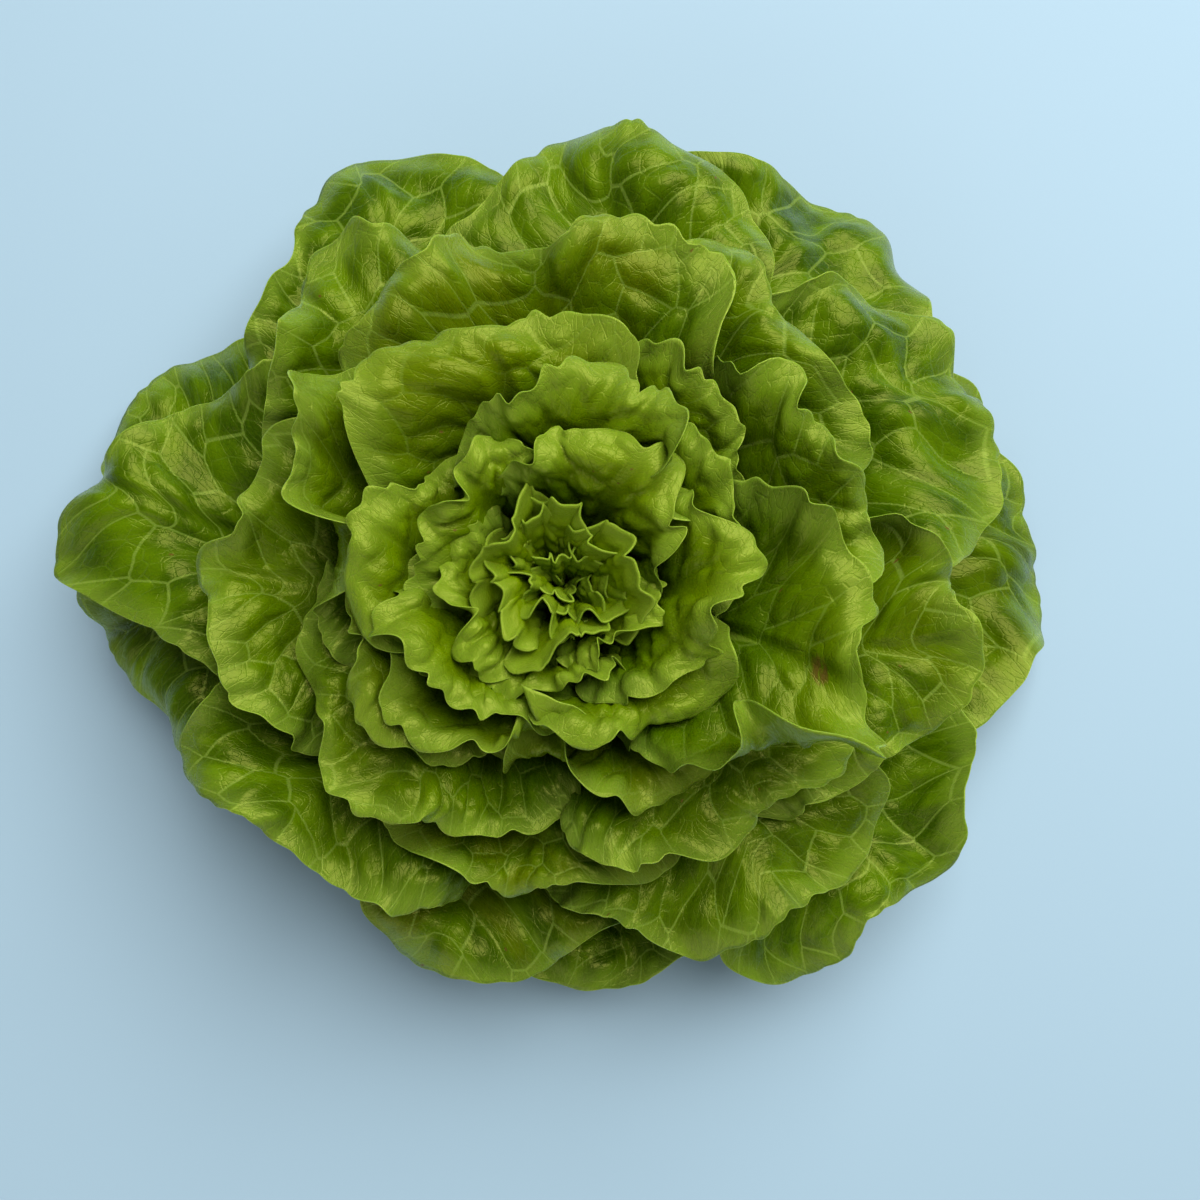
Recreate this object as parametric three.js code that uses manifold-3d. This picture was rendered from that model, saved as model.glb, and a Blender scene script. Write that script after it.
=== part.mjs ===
// A loose head of lettuce: a cut stem carries leaves in a golden-angle spiral round a ruffled heart.
// Millimetres, +Z up. The origin is the centre of the cut face that the head stands on.
import * as THREE from "three";
import { mergeVertices } from "three/addons/utils/BufferGeometryUtils.js";
import Module from "manifold-3d";

const { smoothstep, lerp, degToRad } = THREE.MathUtils;
const wasm = await Module();
wasm.setup();

// The stem: a short stalk, cut flat below, that tapers up into the head.
const STEM_CUT_RADIUS = 16.5;
const STEM_BULGE_RADIUS = 17.5;
const STEM_BULGE_HEIGHT = 5;
const STEM_TOP_RADIUS = 8.5;
const STEM_TOP_HEIGHT = 55;
const STEM_TIP_HEIGHT = 58;
const STEM_SIDES = 20;

// The leaves: their spiral, the blade's thickness and the cells that a side of it is split into.
const GOLDEN_ANGLE = Math.PI * (3 - Math.sqrt(5));
const FIRST_AZIMUTH = degToRad(3);
const LAYER_CROWDING = 0.72;
const BLADE_THICKNESS = 0.8;
const RIB_THICKNESS = 1.2;
const RIB_HALF_WIDTH = 6;
const RIB_ENDS_AT = 0.6;
const ROOT_CLEARANCE = 1.4;
const FINE_LEAVES = 14;
const FINE_LEAF_CELLS = 10;
const LEAF_CELLS = 8;

// The layers: a leaf's profile, from the innermost layer (0) to the outermost (1).
const ROOT_HEIGHT_INNER = 51;
const ROOT_HEIGHT_OUTER = 7;
const RISE_INNER = degToRad(84);
const RISE_OUTER = degToRad(18);
const RISE_POWER = 2;
const BEND_INNER = degToRad(8);
const BEND_OUTER = degToRad(28);
const CURL_ENDS = degToRad(12);
const CURL_MIDDLE = degToRad(30);
const CURL_POWER = 4;
const LENGTH_INNER = 66;
const LENGTH_MIDDLE = 106;
const LENGTH_OUTER = 138;
const PROFILE_STEPS = 24;

// The lowest height of a blade, and the height below which it flattens towards that.
const FLOOR_HEIGHT = 1.6;
const FLOOR_EASE_HEIGHT = 8;

// The blade's half width and outline.
const HALF_WIDTH_INNER = 22;
const HALF_WIDTH_OUTER = 56;
const WIDTH_POWER = 0.75;
const BASE_WIDTH_SHARE = 0.28;
const WIDEST_AT = 0.35;

// The front of the head grew less than the rest: the way it faces, and the share of length it lacks there.
const FRONT_AZIMUTH = degToRad(255);
const FRONT_SHORTENING = 0.24;

// The leaves as they grew, outermost first: degrees off the spiral, then length and width, each against
// what its layer gives.
const GROWN_LEAVES = [
  { turn: 5, reach: 1.02, width: 1.08 },
  { turn: 16, reach: 0.97, width: 0.9 },
  { turn: 2, reach: 0.93, width: 1.0 },
  { turn: 0, reach: 1.04, width: 1.05 },
  { turn: -10, reach: 1.03, width: 0.86 },
  { turn: -11, reach: 1.06, width: 1.0 },
  { turn: 9, reach: 1.01, width: 1.05 },
  { turn: 5, reach: 1.0, width: 1.0 },
  { turn: 5, reach: 1.0, width: 1.0 },
  { turn: 7, reach: 1.03, width: 0.95 },
  { turn: 6, reach: 1.02, width: 1.0 },
  { turn: 6, reach: 1.03, width: 1.08 },
  { turn: 5, reach: 1.08, width: 0.95 },
  { turn: 0, reach: 0.94, width: 1.05 },
  { turn: -4, reach: 0.9, width: 1.05 },
  { turn: -5, reach: 0.95, width: 1.1 },
  { turn: 9, reach: 0.9, width: 1.05 },
  { turn: -4, reach: 0.95, width: 1.0 },
  { turn: -3, reach: 0.95, width: 1.05 },
  { turn: -3, reach: 1.0, width: 1.12 },
  { turn: -10, reach: 1.0, width: 1.05 },
  { turn: 10, reach: 0.92, width: 1.0 },
  { turn: 6, reach: 0.88, width: 1.0 },
  { turn: 8, reach: 0.9, width: 1.05 },
  { turn: -8, reach: 0.86, width: 0.95 },
  { turn: 0, reach: 0.9, width: 0.95 },
  { turn: 4, reach: 1.1, width: 1.0 },
  { turn: -7, reach: 1.0, width: 1.0 },
  { turn: -8, reach: 1.06, width: 1.0 },
  { turn: 0, reach: 0.86, width: 0.9 },
  { turn: 2, reach: 0.86, width: 1.0 },
  { turn: -1, reach: 1.0, width: 0.97 },
  { turn: -6, reach: 1.04, width: 0.95 },
  { turn: -2, reach: 1.08, width: 0.95 },
  { turn: -4, reach: 0.98, width: 1.0 },
  { turn: 0, reach: 0.9, width: 0.9 },
  { turn: -8, reach: 1.06, width: 0.95 },
  { turn: 6, reach: 1.04, width: 1.05 },
  { turn: 8, reach: 1.0, width: 0.95 },
  { turn: 0, reach: 1.0, width: 0.95 },
];
const LEAF_COUNT = GROWN_LEAVES.length;

// The waves that fold a leaf's margin out of its layer, in layer gaps, and the lobes of its outline, in
// shares of its size. Counts are waves in a turn round the leaf. Inner leaves fold less.
const FOLDS = [
  { count: [2.2, 3.2], size: [0.5, 0.9], seed: 4 },
  { count: [4.8, 6.2], size: [0.4, 0.8], seed: 7 },
];
const LOBES = { count: [3, 5], size: [0.02, 0.06], seed: 10 };
const FOLDING_INNER = 0.3;
const FOLDING_OUTER = 1.5;
const FREE_FROM = -0.7;
const FREE_AT = 0.1;

// Slow swells that bend neighbouring leaves alike: wavelength, height, and the ways they run and push.
const SWELL_CLEAR_RADIUS = 22;
const SWELL_FULL_RADIUS = 70;
const SWELLS = [
  { length: 96, height: 4.5, along: [0.8, 0.5, 0.33], push: [-0.4, 0.7, 0.6], phase: 0.6 },
  { length: 70, height: 3.2, along: [-0.55, 0.8, 0.24], push: [0.75, 0.4, -0.5], phase: 2.1 },
  { length: 52, height: 2.0, along: [0.3, -0.4, 0.87], push: [0.6, -0.7, 0.4], phase: 4.0 },
];

// The heart: small ruffled leaves on a core that stands on the stem's tip.
const HEART_LEAVES = 13;
const HEART_CORE_RADIUS = 5.5;
const HEART_CORE_BOTTOM = 59;
const HEART_CORE_TOP = 84;
const HEART_RADIUS = 16;
const HEART_HEIGHT_EDGE = 112;
const HEART_HEIGHT_MIDDLE = 103;
const HEART_CORE_SIDES = 10;
const HEART_LEAF_FOOT = 70;
const HEART_LEAF_FOOT_RADIUS = 3.3;
const HEART_LEAF_FOOT_HALF_WIDTH = 2.5;
const HEART_LEAF_HALF_WIDTH = [5, 13];
const HEART_LEAF_CORNER_DROP = 3.5;
const HEART_RUFFLE = { count: 0.7, size: [1.2, 2.4], seed: 21 };
const HEART_BLADE_THICKNESS = 0.9;
const HEART_LEAF_COLUMNS = 6;
const HEART_LEAF_ROWS = 3;

const LEAF_GREEN = 0x6f9613;
const HEART_GREEN = 0x86a52a;
const STEM_PALE = 0xd9dfb4;
const LEAF_ROUGHNESS = 0.45;

// A fixed draw between 0 and 1 for one leaf and one of its traits.
const draw = (leaf, trait) => {
  const wave = Math.sin(leaf * 127.1 + trait * 311.7 + 17.3) * 43758.5453;
  return wave - Math.floor(wave);
};

const between = ([low, high], leaf, trait) => lerp(low, high, draw(leaf, trait));

// One leaf's own wave, drawn from the ranges of its kind.
const waveOf = (leaf, { count, size, seed }, scale = 1) => ({
  count: between(count, leaf, seed),
  size: scale * between(size, leaf, seed + 1),
  phase: 2 * Math.PI * draw(leaf, seed + 2),
});

const signedPower = (value, power) => Math.sign(value) * Math.abs(value) ** power;

const stemRadius = (height) => lerp(STEM_BULGE_RADIUS, STEM_TOP_RADIUS, height / STEM_TOP_HEIGHT);

// One layer's root, length and angles. Between whole leaves, layers vary smoothly, so no two of them cross.
function layerAt(depth) {
  const rootHeight = lerp(ROOT_HEIGHT_INNER, ROOT_HEIGHT_OUTER, depth);
  const early = LENGTH_MIDDLE - (LENGTH_INNER + LENGTH_OUTER) / 2;
  return {
    rootHeight,
    rootRadius: stemRadius(rootHeight) + ROOT_CLEARANCE,
    rise: lerp(RISE_INNER, RISE_OUTER, signedPower(depth, RISE_POWER)),
    bend: lerp(BEND_INNER, BEND_OUTER, depth),
    curl: CURL_ENDS + 4 * CURL_MIDDLE * depth * (1 - depth),
    length: lerp(LENGTH_INNER, LENGTH_OUTER, depth) + 4 * early * depth * (1 - depth),
  };
}

// The radius and height that a layer's profile reaches at a share of its length.
function profilePoint(depth, share) {
  const layer = layerAt(depth);
  const step = share / PROFILE_STEPS;
  let radius = layer.rootRadius;
  let height = layer.rootHeight;
  for (let i = 0; i < PROFILE_STEPS; i++) {
    const at = (i + 0.5) * step;
    const angle = layer.rise - layer.bend * at - layer.curl * signedPower(at, CURL_POWER);
    radius += layer.length * step * Math.cos(angle);
    height += layer.length * step * Math.sin(angle);
  }
  return { radius, height };
}

// Low blades ease down on to the surface that the head stands on.
function easeToFloor(height) {
  if (height > FLOOR_EASE_HEIGHT) return height;
  const room = FLOOR_EASE_HEIGHT - FLOOR_HEIGHT;
  return FLOOR_HEIGHT + room * Math.exp((height - FLOOR_EASE_HEIGHT) / room);
}

function swell(point) {
  const radius = Math.hypot(point.x, point.y);
  const share = smoothstep(radius, SWELL_CLEAR_RADIUS, SWELL_FULL_RADIUS);
  const moved = point.clone();
  for (const { length, height, along, push, phase } of SWELLS) {
    const wave = Math.sin(((2 * Math.PI) / length) * point.dot(new THREE.Vector3(...along)) + phase);
    moved.addScaledVector(new THREE.Vector3(...push), share * height * wave);
  }
  moved.z = easeToFloor(moved.z);
  return moved;
}

// A leaf's place in the spiral and its own size, folds and lobes. Leaf 0 is the outermost.
function leafTraits(index) {
  const inward = (LEAF_COUNT - 1 - index) / (LEAF_COUNT - 1);
  const depth = inward ** LAYER_CROWDING;
  const layer = layerAt(depth);
  const slope = layer.rise - layer.bend / 2;
  const grown = GROWN_LEAVES[index];
  const azimuth = FIRST_AZIMUTH + index * GOLDEN_ANGLE + degToRad(grown.turn);
  const shortening = FRONT_SHORTENING * Math.max(0, Math.cos(azimuth - FRONT_AZIMUTH));
  const folding = lerp(FOLDING_INNER, FOLDING_OUTER, depth);
  return {
    depth,
    layer,
    azimuth,
    layerGap: (LAYER_CROWDING * Math.max(inward, 0.1) ** (LAYER_CROWDING - 1)) / (LEAF_COUNT - 1),
    wrap: 1 / Math.cos(slope),
    apex: layer.rootRadius / Math.cos(slope),
    length: layer.length * grown.reach * (1 - shortening),
    halfWidth: lerp(HALF_WIDTH_INNER, HALF_WIDTH_OUTER, depth ** WIDTH_POWER) * grown.width,
    folds: FOLDS.map((fold) => waveOf(index, fold, folding)),
    lobes: waveOf(index, LOBES),
  };
}

// The middle of the blade at a point of the unit disc that the leaf is stretched from. Its tip is at (0, 1)
// and its root at (0, -1). The blade lies on its layer like paper on a cone, and its margin folds out of it.
function bladePoint(leaf, across, along) {
  const rim = Math.hypot(across, along);
  const round = Math.atan2(across, along);
  const free = smoothstep(along, FREE_FROM, FREE_AT) * rim ** 3;
  const lobe = 1 + leaf.lobes.size * free * Math.sin(leaf.lobes.count * round + leaf.lobes.phase);
  const breadth = lerp(BASE_WIDTH_SHARE, 1, smoothstep(along, -1, WIDEST_AT));
  const x = across * lobe * leaf.halfWidth * breadth;
  const y = (leaf.length * (1 + along * lobe)) / 2;
  const slant = Math.hypot(x, y + leaf.apex);
  const angle = leaf.azimuth + Math.atan2(x, y + leaf.apex) * leaf.wrap;
  let fold = 0;
  for (const { count, size, phase } of leaf.folds) fold += size * Math.sin(count * round + phase);
  const depth = leaf.depth + leaf.layerGap * free * fold;
  const { radius, height } = profilePoint(depth, (slant - leaf.apex) / leaf.layer.length);
  return swell(new THREE.Vector3(radius * Math.cos(angle), radius * Math.sin(angle), height));
}

// Maps a square grid on to the unit disc, so that a leaf's cells stay even up to its round margin.
const squareToDisc = (u, v) => [u * Math.sqrt(1 - (v * v) / 2), v * Math.sqrt(1 - (u * u) / 2)];

// A closed blade round a curved middle surface: a rim joins two faces that are split into triangles alike.
function bladeGeometry(surface, thicknessAt, columns, rows, place = (u, v) => [u, v]) {
  const nudge = 1e-3;
  const under = [];
  const over = [];
  for (let row = 0; row <= rows; row++) {
    for (let column = 0; column <= columns; column++) {
      const [u, v] = place((2 * column) / columns - 1, (2 * row) / rows - 1);
      const sideways = surface(u + nudge, v).sub(surface(u - nudge, v));
      const lengthways = surface(u, v + nudge).sub(surface(u, v - nudge));
      const normal = sideways.cross(lengthways).normalize();
      const middle = surface(u, v);
      const half = thicknessAt(u, v) / 2;
      under.push(middle.clone().addScaledVector(normal, half));
      over.push(middle.clone().addScaledVector(normal, -half));
    }
  }
  const at = (column, row) => row * (columns + 1) + column;
  const far = under.length;
  const triangles = [];
  for (let row = 0; row < rows; row++) {
    for (let column = 0; column < columns; column++) {
      const [a, b] = [at(column, row), at(column + 1, row)];
      const [d, c] = [at(column, row + 1), at(column + 1, row + 1)];
      const rising = column < columns / 2 === row < rows / 2;
      const pair = rising ? [[a, b, c], [a, c, d]] : [[a, b, d], [b, c, d]];
      for (const [i, j, k] of pair) triangles.push(i, j, k, far + i, far + k, far + j);
    }
  }
  const rim = [];
  for (let column = 0; column < columns; column++) rim.push(at(column, 0));
  for (let row = 0; row < rows; row++) rim.push(at(columns, row));
  for (let column = columns; column > 0; column--) rim.push(at(column, rows));
  for (let row = rows; row > 0; row--) rim.push(at(0, row));
  rim.forEach((from, i) => {
    const to = rim[(i + 1) % rim.length];
    triangles.push(from, far + from, to, to, far + from, far + to);
  });
  const positions = [...under, ...over].flatMap((point) => point.toArray());
  return new THREE.BufferGeometry()
    .setAttribute("position", new THREE.Float32BufferAttribute(positions, 3))
    .setIndex(triangles);
}

function leafGeometry(index) {
  const leaf = leafTraits(index);
  const cells = index < FINE_LEAVES ? FINE_LEAF_CELLS : LEAF_CELLS;
  const thicknessAt = (across, along) => {
    const x = across * leaf.halfWidth;
    const rib = Math.exp(-((x / RIB_HALF_WIDTH) ** 2)) * (1 - smoothstep(along, -1, RIB_ENDS_AT));
    return BLADE_THICKNESS + RIB_THICKNESS * rib;
  };
  return bladeGeometry((p, q) => bladePoint(leaf, p, q), thicknessAt, cells, cells, squareToDisc);
}

function stemGeometry() {
  const outline = [
    [0, 0],
    [STEM_CUT_RADIUS, 0],
    [STEM_BULGE_RADIUS, STEM_BULGE_HEIGHT],
    [STEM_TOP_RADIUS, STEM_TOP_HEIGHT],
    [STEM_TOP_RADIUS / 2, STEM_TIP_HEIGHT],
    [0, STEM_TIP_HEIGHT],
  ].map(([radius, height]) => new THREE.Vector2(radius, height));
  return new THREE.LatheGeometry(outline, STEM_SIDES).rotateX(Math.PI / 2);
}

// One closed geometry as a solid that can be joined to others.
function solidOf(geometry) {
  const plain = geometry.toNonIndexed();
  const bare = new THREE.BufferGeometry().setAttribute("position", plain.getAttribute("position"));
  const merged = mergeVertices(bare);
  return new wasm.Manifold(
    new wasm.Mesh({
      numProp: 3,
      vertProperties: merged.getAttribute("position").array,
      triVerts: new Uint32Array(merged.index.array),
    }),
  );
}

function geometryOf(solid) {
  const mesh = solid.getMesh();
  return new THREE.BufferGeometry()
    .setAttribute("position", new THREE.BufferAttribute(mesh.vertProperties, mesh.numProp))
    .setIndex(new THREE.BufferAttribute(mesh.triVerts, 1));
}

// A small heart leaf: it stands on the core, hugs the axis and ruffles more towards its top.
function heartLeafGeometry(index) {
  const outward = (index + 0.5) / HEART_LEAVES;
  const topRadius = HEART_RADIUS * Math.sqrt(outward);
  const top = lerp(HEART_HEIGHT_MIDDLE, HEART_HEIGHT_EDGE, outward);
  const halfWidth = lerp(...HEART_LEAF_HALF_WIDTH, outward);
  const azimuth = FIRST_AZIMUTH - (index + 1) * GOLDEN_ANGLE;
  const size = between(HEART_RUFFLE.size, index, HEART_RUFFLE.seed);
  const phase = 2 * Math.PI * draw(index, HEART_RUFFLE.seed + 1);
  const surface = (across, along) => {
    const rise = (along + 1) / 2;
    const ruffle = size * rise ** 2 * Math.sin(2 * Math.PI * HEART_RUFFLE.count * across + phase);
    const radius = lerp(HEART_LEAF_FOOT_RADIUS, topRadius, rise) + ruffle;
    const sideways = across * lerp(HEART_LEAF_FOOT_HALF_WIDTH, halfWidth, rise);
    const angle = azimuth + sideways / Math.max(topRadius, HEART_LEAF_FOOT_RADIUS);
    const height = lerp(HEART_LEAF_FOOT, top - HEART_LEAF_CORNER_DROP * across ** 2, rise);
    return new THREE.Vector3(radius * Math.cos(angle), radius * Math.sin(angle), height);
  };
  return bladeGeometry(surface, () => HEART_BLADE_THICKNESS, HEART_LEAF_COLUMNS, HEART_LEAF_ROWS);
}

function heartGeometry() {
  const outline = [
    [0, HEART_CORE_BOTTOM],
    [HEART_CORE_RADIUS, HEART_CORE_BOTTOM],
    [HEART_CORE_RADIUS, HEART_CORE_TOP - HEART_CORE_RADIUS / 2],
    [HEART_CORE_RADIUS / 2, HEART_CORE_TOP],
    [0, HEART_CORE_TOP],
  ].map(([radius, height]) => new THREE.Vector2(radius, height));
  let solid = solidOf(new THREE.LatheGeometry(outline, HEART_CORE_SIDES).rotateX(Math.PI / 2));
  for (let i = 0; i < HEART_LEAVES; i++) solid = solid.add(solidOf(heartLeafGeometry(i)));
  return geometryOf(solid);
}

function part(name, geometry, color) {
  const material = new THREE.MeshStandardMaterial({ color, roughness: LEAF_ROUGHNESS, metalness: 0 });
  const mesh = new THREE.Mesh(geometry, material);
  mesh.name = name;
  return mesh;
}

const lettuce = new THREE.Group();
lettuce.add(part("stem", stemGeometry(), STEM_PALE));
for (let i = 0; i < LEAF_COUNT; i++) {
  lettuce.add(part(`leaf_${String(i + 1).padStart(2, "0")}`, leafGeometry(i), LEAF_GREEN));
}
lettuce.add(part("heart", heartGeometry(), HEART_GREEN));

export default lettuce;
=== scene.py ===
"""Looks of a loose head of lettuce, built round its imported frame.

The blades follow the same nested layers as the solids, in millimetres, so that each one lies on the node
that it replaces.
"""

from __future__ import annotations

import logging
import math
from dataclasses import dataclass
from enum import Enum

import bpy
import numpy as np
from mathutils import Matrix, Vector

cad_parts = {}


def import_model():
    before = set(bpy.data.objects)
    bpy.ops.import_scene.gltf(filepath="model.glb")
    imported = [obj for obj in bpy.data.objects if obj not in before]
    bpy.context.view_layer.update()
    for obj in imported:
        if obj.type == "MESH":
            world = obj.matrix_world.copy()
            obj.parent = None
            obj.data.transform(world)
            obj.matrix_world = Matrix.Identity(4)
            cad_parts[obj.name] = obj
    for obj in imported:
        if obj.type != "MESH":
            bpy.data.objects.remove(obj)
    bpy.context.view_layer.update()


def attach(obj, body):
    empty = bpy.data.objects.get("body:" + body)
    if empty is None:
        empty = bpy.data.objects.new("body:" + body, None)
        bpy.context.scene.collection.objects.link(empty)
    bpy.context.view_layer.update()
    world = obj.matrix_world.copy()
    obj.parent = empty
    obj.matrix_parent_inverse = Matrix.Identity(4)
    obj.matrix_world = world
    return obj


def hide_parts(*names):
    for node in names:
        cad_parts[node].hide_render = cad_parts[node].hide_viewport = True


LOG = logging.getLogger("lettuce")

Array = np.ndarray
Colour = tuple[float, float, float]
Direction = tuple[float, float, float]
Point = tuple[float, float, float]
Range = tuple[float, float]
Material = bpy.types.Material
Piece = bpy.types.Object
Shader = bpy.types.Node
Socket = bpy.types.NodeSocket
Tree = bpy.types.NodeTree

MM = 0.001
BODY = "root"

# What each point of a blade carries: its place in the net of veins
VEIN_SPACE = "vein_space"
# How many half widths off the midrib it is, its share of the length, its millimetres from the rim
BLADE_PLACE = "blade_place"
# Its youth, its tone and how far its blister rises
BLADE_TRAITS = "blade_traits"
# The strength of its brown mark
BLADE_MARKS = "blade_marks"
# Its thickness against the midrib's
RIB_GROUP = "rib"

# Factors of the fixed draws
DRAW_LEAF = 127.1
DRAW_TRAIT = 311.7
DRAW_START = 17.3
DRAW_SPREAD = 43758.5453

# Least values that a sum divides by, and the small step that finds a blade's slopes
LEAST_RIM = 1e-6
LEAST_LENGTH = 1e-9
LEAST_ANGLE = 1e-4
NUDGE = 0.01

# How soft the notches between scallops are, and the height that scallops swing about
NOTCH_SOFTNESS = 0.06
SCALLOP_MIDDLE = 0.7


class Slot(str, Enum):
    """The record's material slots."""

    LEAF = "leaf_blade"
    HEART = "heart_leaf"
    STEM = "stem_flesh"


def draw(leaf: int, trait: int) -> float:
    """Gives a fixed draw between 0 and 1.

    Args:
        leaf: Number of the leaf.
        trait: Number of the trait that is drawn.

    Returns:
        The same number on every run.
    """
    wave = math.sin(leaf * DRAW_LEAF + trait * DRAW_TRAIT + DRAW_START) * DRAW_SPREAD
    return wave - math.floor(wave)


def between(limits: Range, leaf: int, trait: int) -> float:
    """Draws one trait of a leaf between two limits."""
    return limits[0] + (limits[1] - limits[0]) * draw(leaf, trait)


def lerp(low: float | Array, high: float | Array, share: float | Array) -> float | Array:
    """Goes from low to high with a share of 0 to 1."""
    return low + (high - low) * share


def smoothstep(value: Array, low: float, high: float) -> Array:
    """Rises smoothly from 0 at low to 1 at high."""
    share = np.clip((value - low) / (high - low), 0.0, 1.0)
    return share * share * (3.0 - 2.0 * share)


def unit(vectors: Array) -> Array:
    """Brings vectors, one a row, to a length of 1."""
    return vectors / np.maximum(np.linalg.norm(vectors, axis=1, keepdims=True), LEAST_LENGTH)


def polar(across: Array, along: Array) -> tuple[Array, Array]:
    """Gives the distance of places from the disc's middle, and their angle from its tip."""
    return np.hypot(across, along), np.arctan2(across, along)


def ring(radius: Array, angle: Array, height: Array) -> Array:
    """Gives points round the head's axis, one a row."""
    return np.column_stack((radius * np.cos(angle), radius * np.sin(angle), height))


@dataclass(frozen=True)
class WaveKind:
    """The ranges that one kind of wave round a leaf is drawn from.

    Attributes:
        count: Waves in a turn round the leaf.
        size: Height of the wave, in the unit of its use.
        seed: First number of its draws.
    """

    count: Range
    size: Range
    seed: int

    def of(self, leaf: int, scale: float = 1.0) -> Wave:
        """Draws one leaf's own wave.

        Args:
            leaf: Number of the leaf.
            scale: Its height against the range.

        Returns:
            The wave.
        """
        return Wave(
            between(self.count, leaf, self.seed),
            scale * between(self.size, leaf, self.seed + 1),
            2.0 * math.pi * draw(leaf, self.seed + 2),
        )


@dataclass(frozen=True)
class Wave:
    """One leaf's own wave."""

    count: float
    size: float
    phase: float

    def at(self, turn: Array) -> Array:
        """Gives the wave's height at angles round the leaf."""
        return self.size * np.sin(self.count * turn + self.phase)

    def scallop(self, turn: Array) -> Array:
        """Gives round lobes with soft notches between them."""
        lobe = np.sin(0.5 * self.count * turn + self.phase)
        return self.size * (np.sqrt(lobe**2 + NOTCH_SOFTNESS) - SCALLOP_MIDDLE)


@dataclass(frozen=True)
class Swell:
    """A slow wave that moves all the leaves it passes through alike.

    Attributes:
        length: Wavelength.
        height: How far it moves a point.
        along: The way it runs.
        push: The way it pushes.
        phase: Its start.
    """

    length: float
    height: float
    along: Direction
    push: Direction
    phase: float

    def at(self, points: Array) -> Array:
        """Gives how far it moves points."""
        angle = 2.0 * math.pi / self.length * (points @ np.array(self.along)) + self.phase
        return self.height * np.sin(angle)


@dataclass(frozen=True)
class GrownLeaf:
    """How one leaf departs from its place.

    Attributes:
        turn: Degrees off the spiral.
        reach: Length against its layer's.
        width: Width against its layer's.
    """

    turn: float
    reach: float
    width: float


@dataclass(frozen=True)
class Gather:
    """A short stretch of a leaf's margin that departs from the rest of it.

    Attributes:
        place: Angle round the leaf from its tip, in radians.
        spread: Half its breadth, in radians.
        size: How far it goes, in the unit of its use.
    """

    place: float
    spread: float
    size: float

    def at(self, turn: Array) -> Array:
        """Gives its height at angles round the leaf."""
        return self.size * np.exp(-(((turn - self.place) / self.spread) ** 2))


@dataclass(frozen=True)
class TurnedMargin:
    """A stretch of margin that turns over and shows its underside.

    Attributes:
        start: Share of the way out to the rim where it starts to turn.
        gather: Its place, spread and turn, in radians.
    """

    start: float
    gather: Gather


@dataclass(frozen=True)
class Blemish:
    """A brown mark on a leaf, placed and sized on the unit disc."""

    across: float
    along: float
    size: float

    def at(self, across: Array, along: Array) -> Array:
        """Gives its strength at places of the leaf."""
        away = np.hypot(across - self.across, along - self.along)
        return np.exp(-((away / self.size) ** 2))


# From the outermost leaf inwards
GROWN_LEAVES = (
    GrownLeaf(5, 1.02, 1.08),
    GrownLeaf(16, 0.97, 0.9),
    GrownLeaf(2, 0.93, 1.0),
    GrownLeaf(0, 1.04, 1.05),
    GrownLeaf(-10, 1.03, 0.86),
    GrownLeaf(-11, 1.06, 1.0),
    GrownLeaf(9, 1.01, 1.05),
    GrownLeaf(5, 1.0, 1.0),
    GrownLeaf(5, 1.0, 1.0),
    GrownLeaf(7, 1.03, 0.95),
    GrownLeaf(6, 1.02, 1.0),
    GrownLeaf(6, 1.03, 1.08),
    GrownLeaf(5, 1.08, 0.95),
    GrownLeaf(0, 0.94, 1.05),
    GrownLeaf(-4, 0.9, 1.05),
    GrownLeaf(-5, 0.95, 1.1),
    GrownLeaf(9, 0.9, 1.05),
    GrownLeaf(-4, 0.95, 1.0),
    GrownLeaf(-3, 0.95, 1.05),
    GrownLeaf(-3, 1.0, 1.12),
    GrownLeaf(-10, 1.0, 1.05),
    GrownLeaf(10, 0.92, 1.0),
    GrownLeaf(6, 0.88, 1.0),
    GrownLeaf(8, 0.9, 1.05),
    GrownLeaf(-8, 0.86, 0.95),
    GrownLeaf(0, 0.9, 0.95),
    GrownLeaf(4, 1.1, 1.0),
    GrownLeaf(-7, 1.0, 1.0),
    GrownLeaf(-8, 1.06, 1.0),
    GrownLeaf(0, 0.86, 0.9),
    GrownLeaf(2, 0.86, 1.0),
    GrownLeaf(-1, 1.0, 0.97),
    GrownLeaf(-6, 1.04, 0.95),
    GrownLeaf(-2, 1.08, 0.95),
    GrownLeaf(-4, 0.98, 1.0),
    GrownLeaf(0, 0.9, 0.9),
    GrownLeaf(-8, 1.06, 0.95),
    GrownLeaf(6, 1.04, 1.05),
    GrownLeaf(8, 1.0, 0.95),
    GrownLeaf(0, 1.0, 0.95),
)
# By the number of the leaf
TURNED_MARGINS = {
    14: TurnedMargin(0.66, Gather(math.radians(58.0), math.radians(16.0), 3.9)),
    22: TurnedMargin(0.66, Gather(math.radians(-56.0), math.radians(15.0), 4.2)),
    23: TurnedMargin(0.64, Gather(math.radians(30.0), math.radians(16.0), 4.2)),
    24: TurnedMargin(0.7, Gather(math.radians(-38.0), math.radians(14.0), 4.2)),
    27: TurnedMargin(0.7, Gather(math.radians(-32.0), math.radians(18.0), 4.2)),
    29: TurnedMargin(0.66, Gather(math.radians(24.0), math.radians(15.0), 4.2)),
    33: TurnedMargin(0.72, Gather(math.radians(-50.0), math.radians(14.0), 4.4)),
}
BLEMISHES = {27: (Blemish(0.02, 0.74, 0.06),)}
# Leaves with quieter margins, and how strong theirs are against the others'
CALM_LEAVES = {12: 0.3, 28: 0.3, 33: 0.7}


@dataclass(frozen=True)
class Layer:
    """The root, length and angles of the layers at an array of depths."""

    root_height: Array
    root_radius: Array
    rise: Array
    bend: Array
    curl: Array
    length: Array


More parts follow.
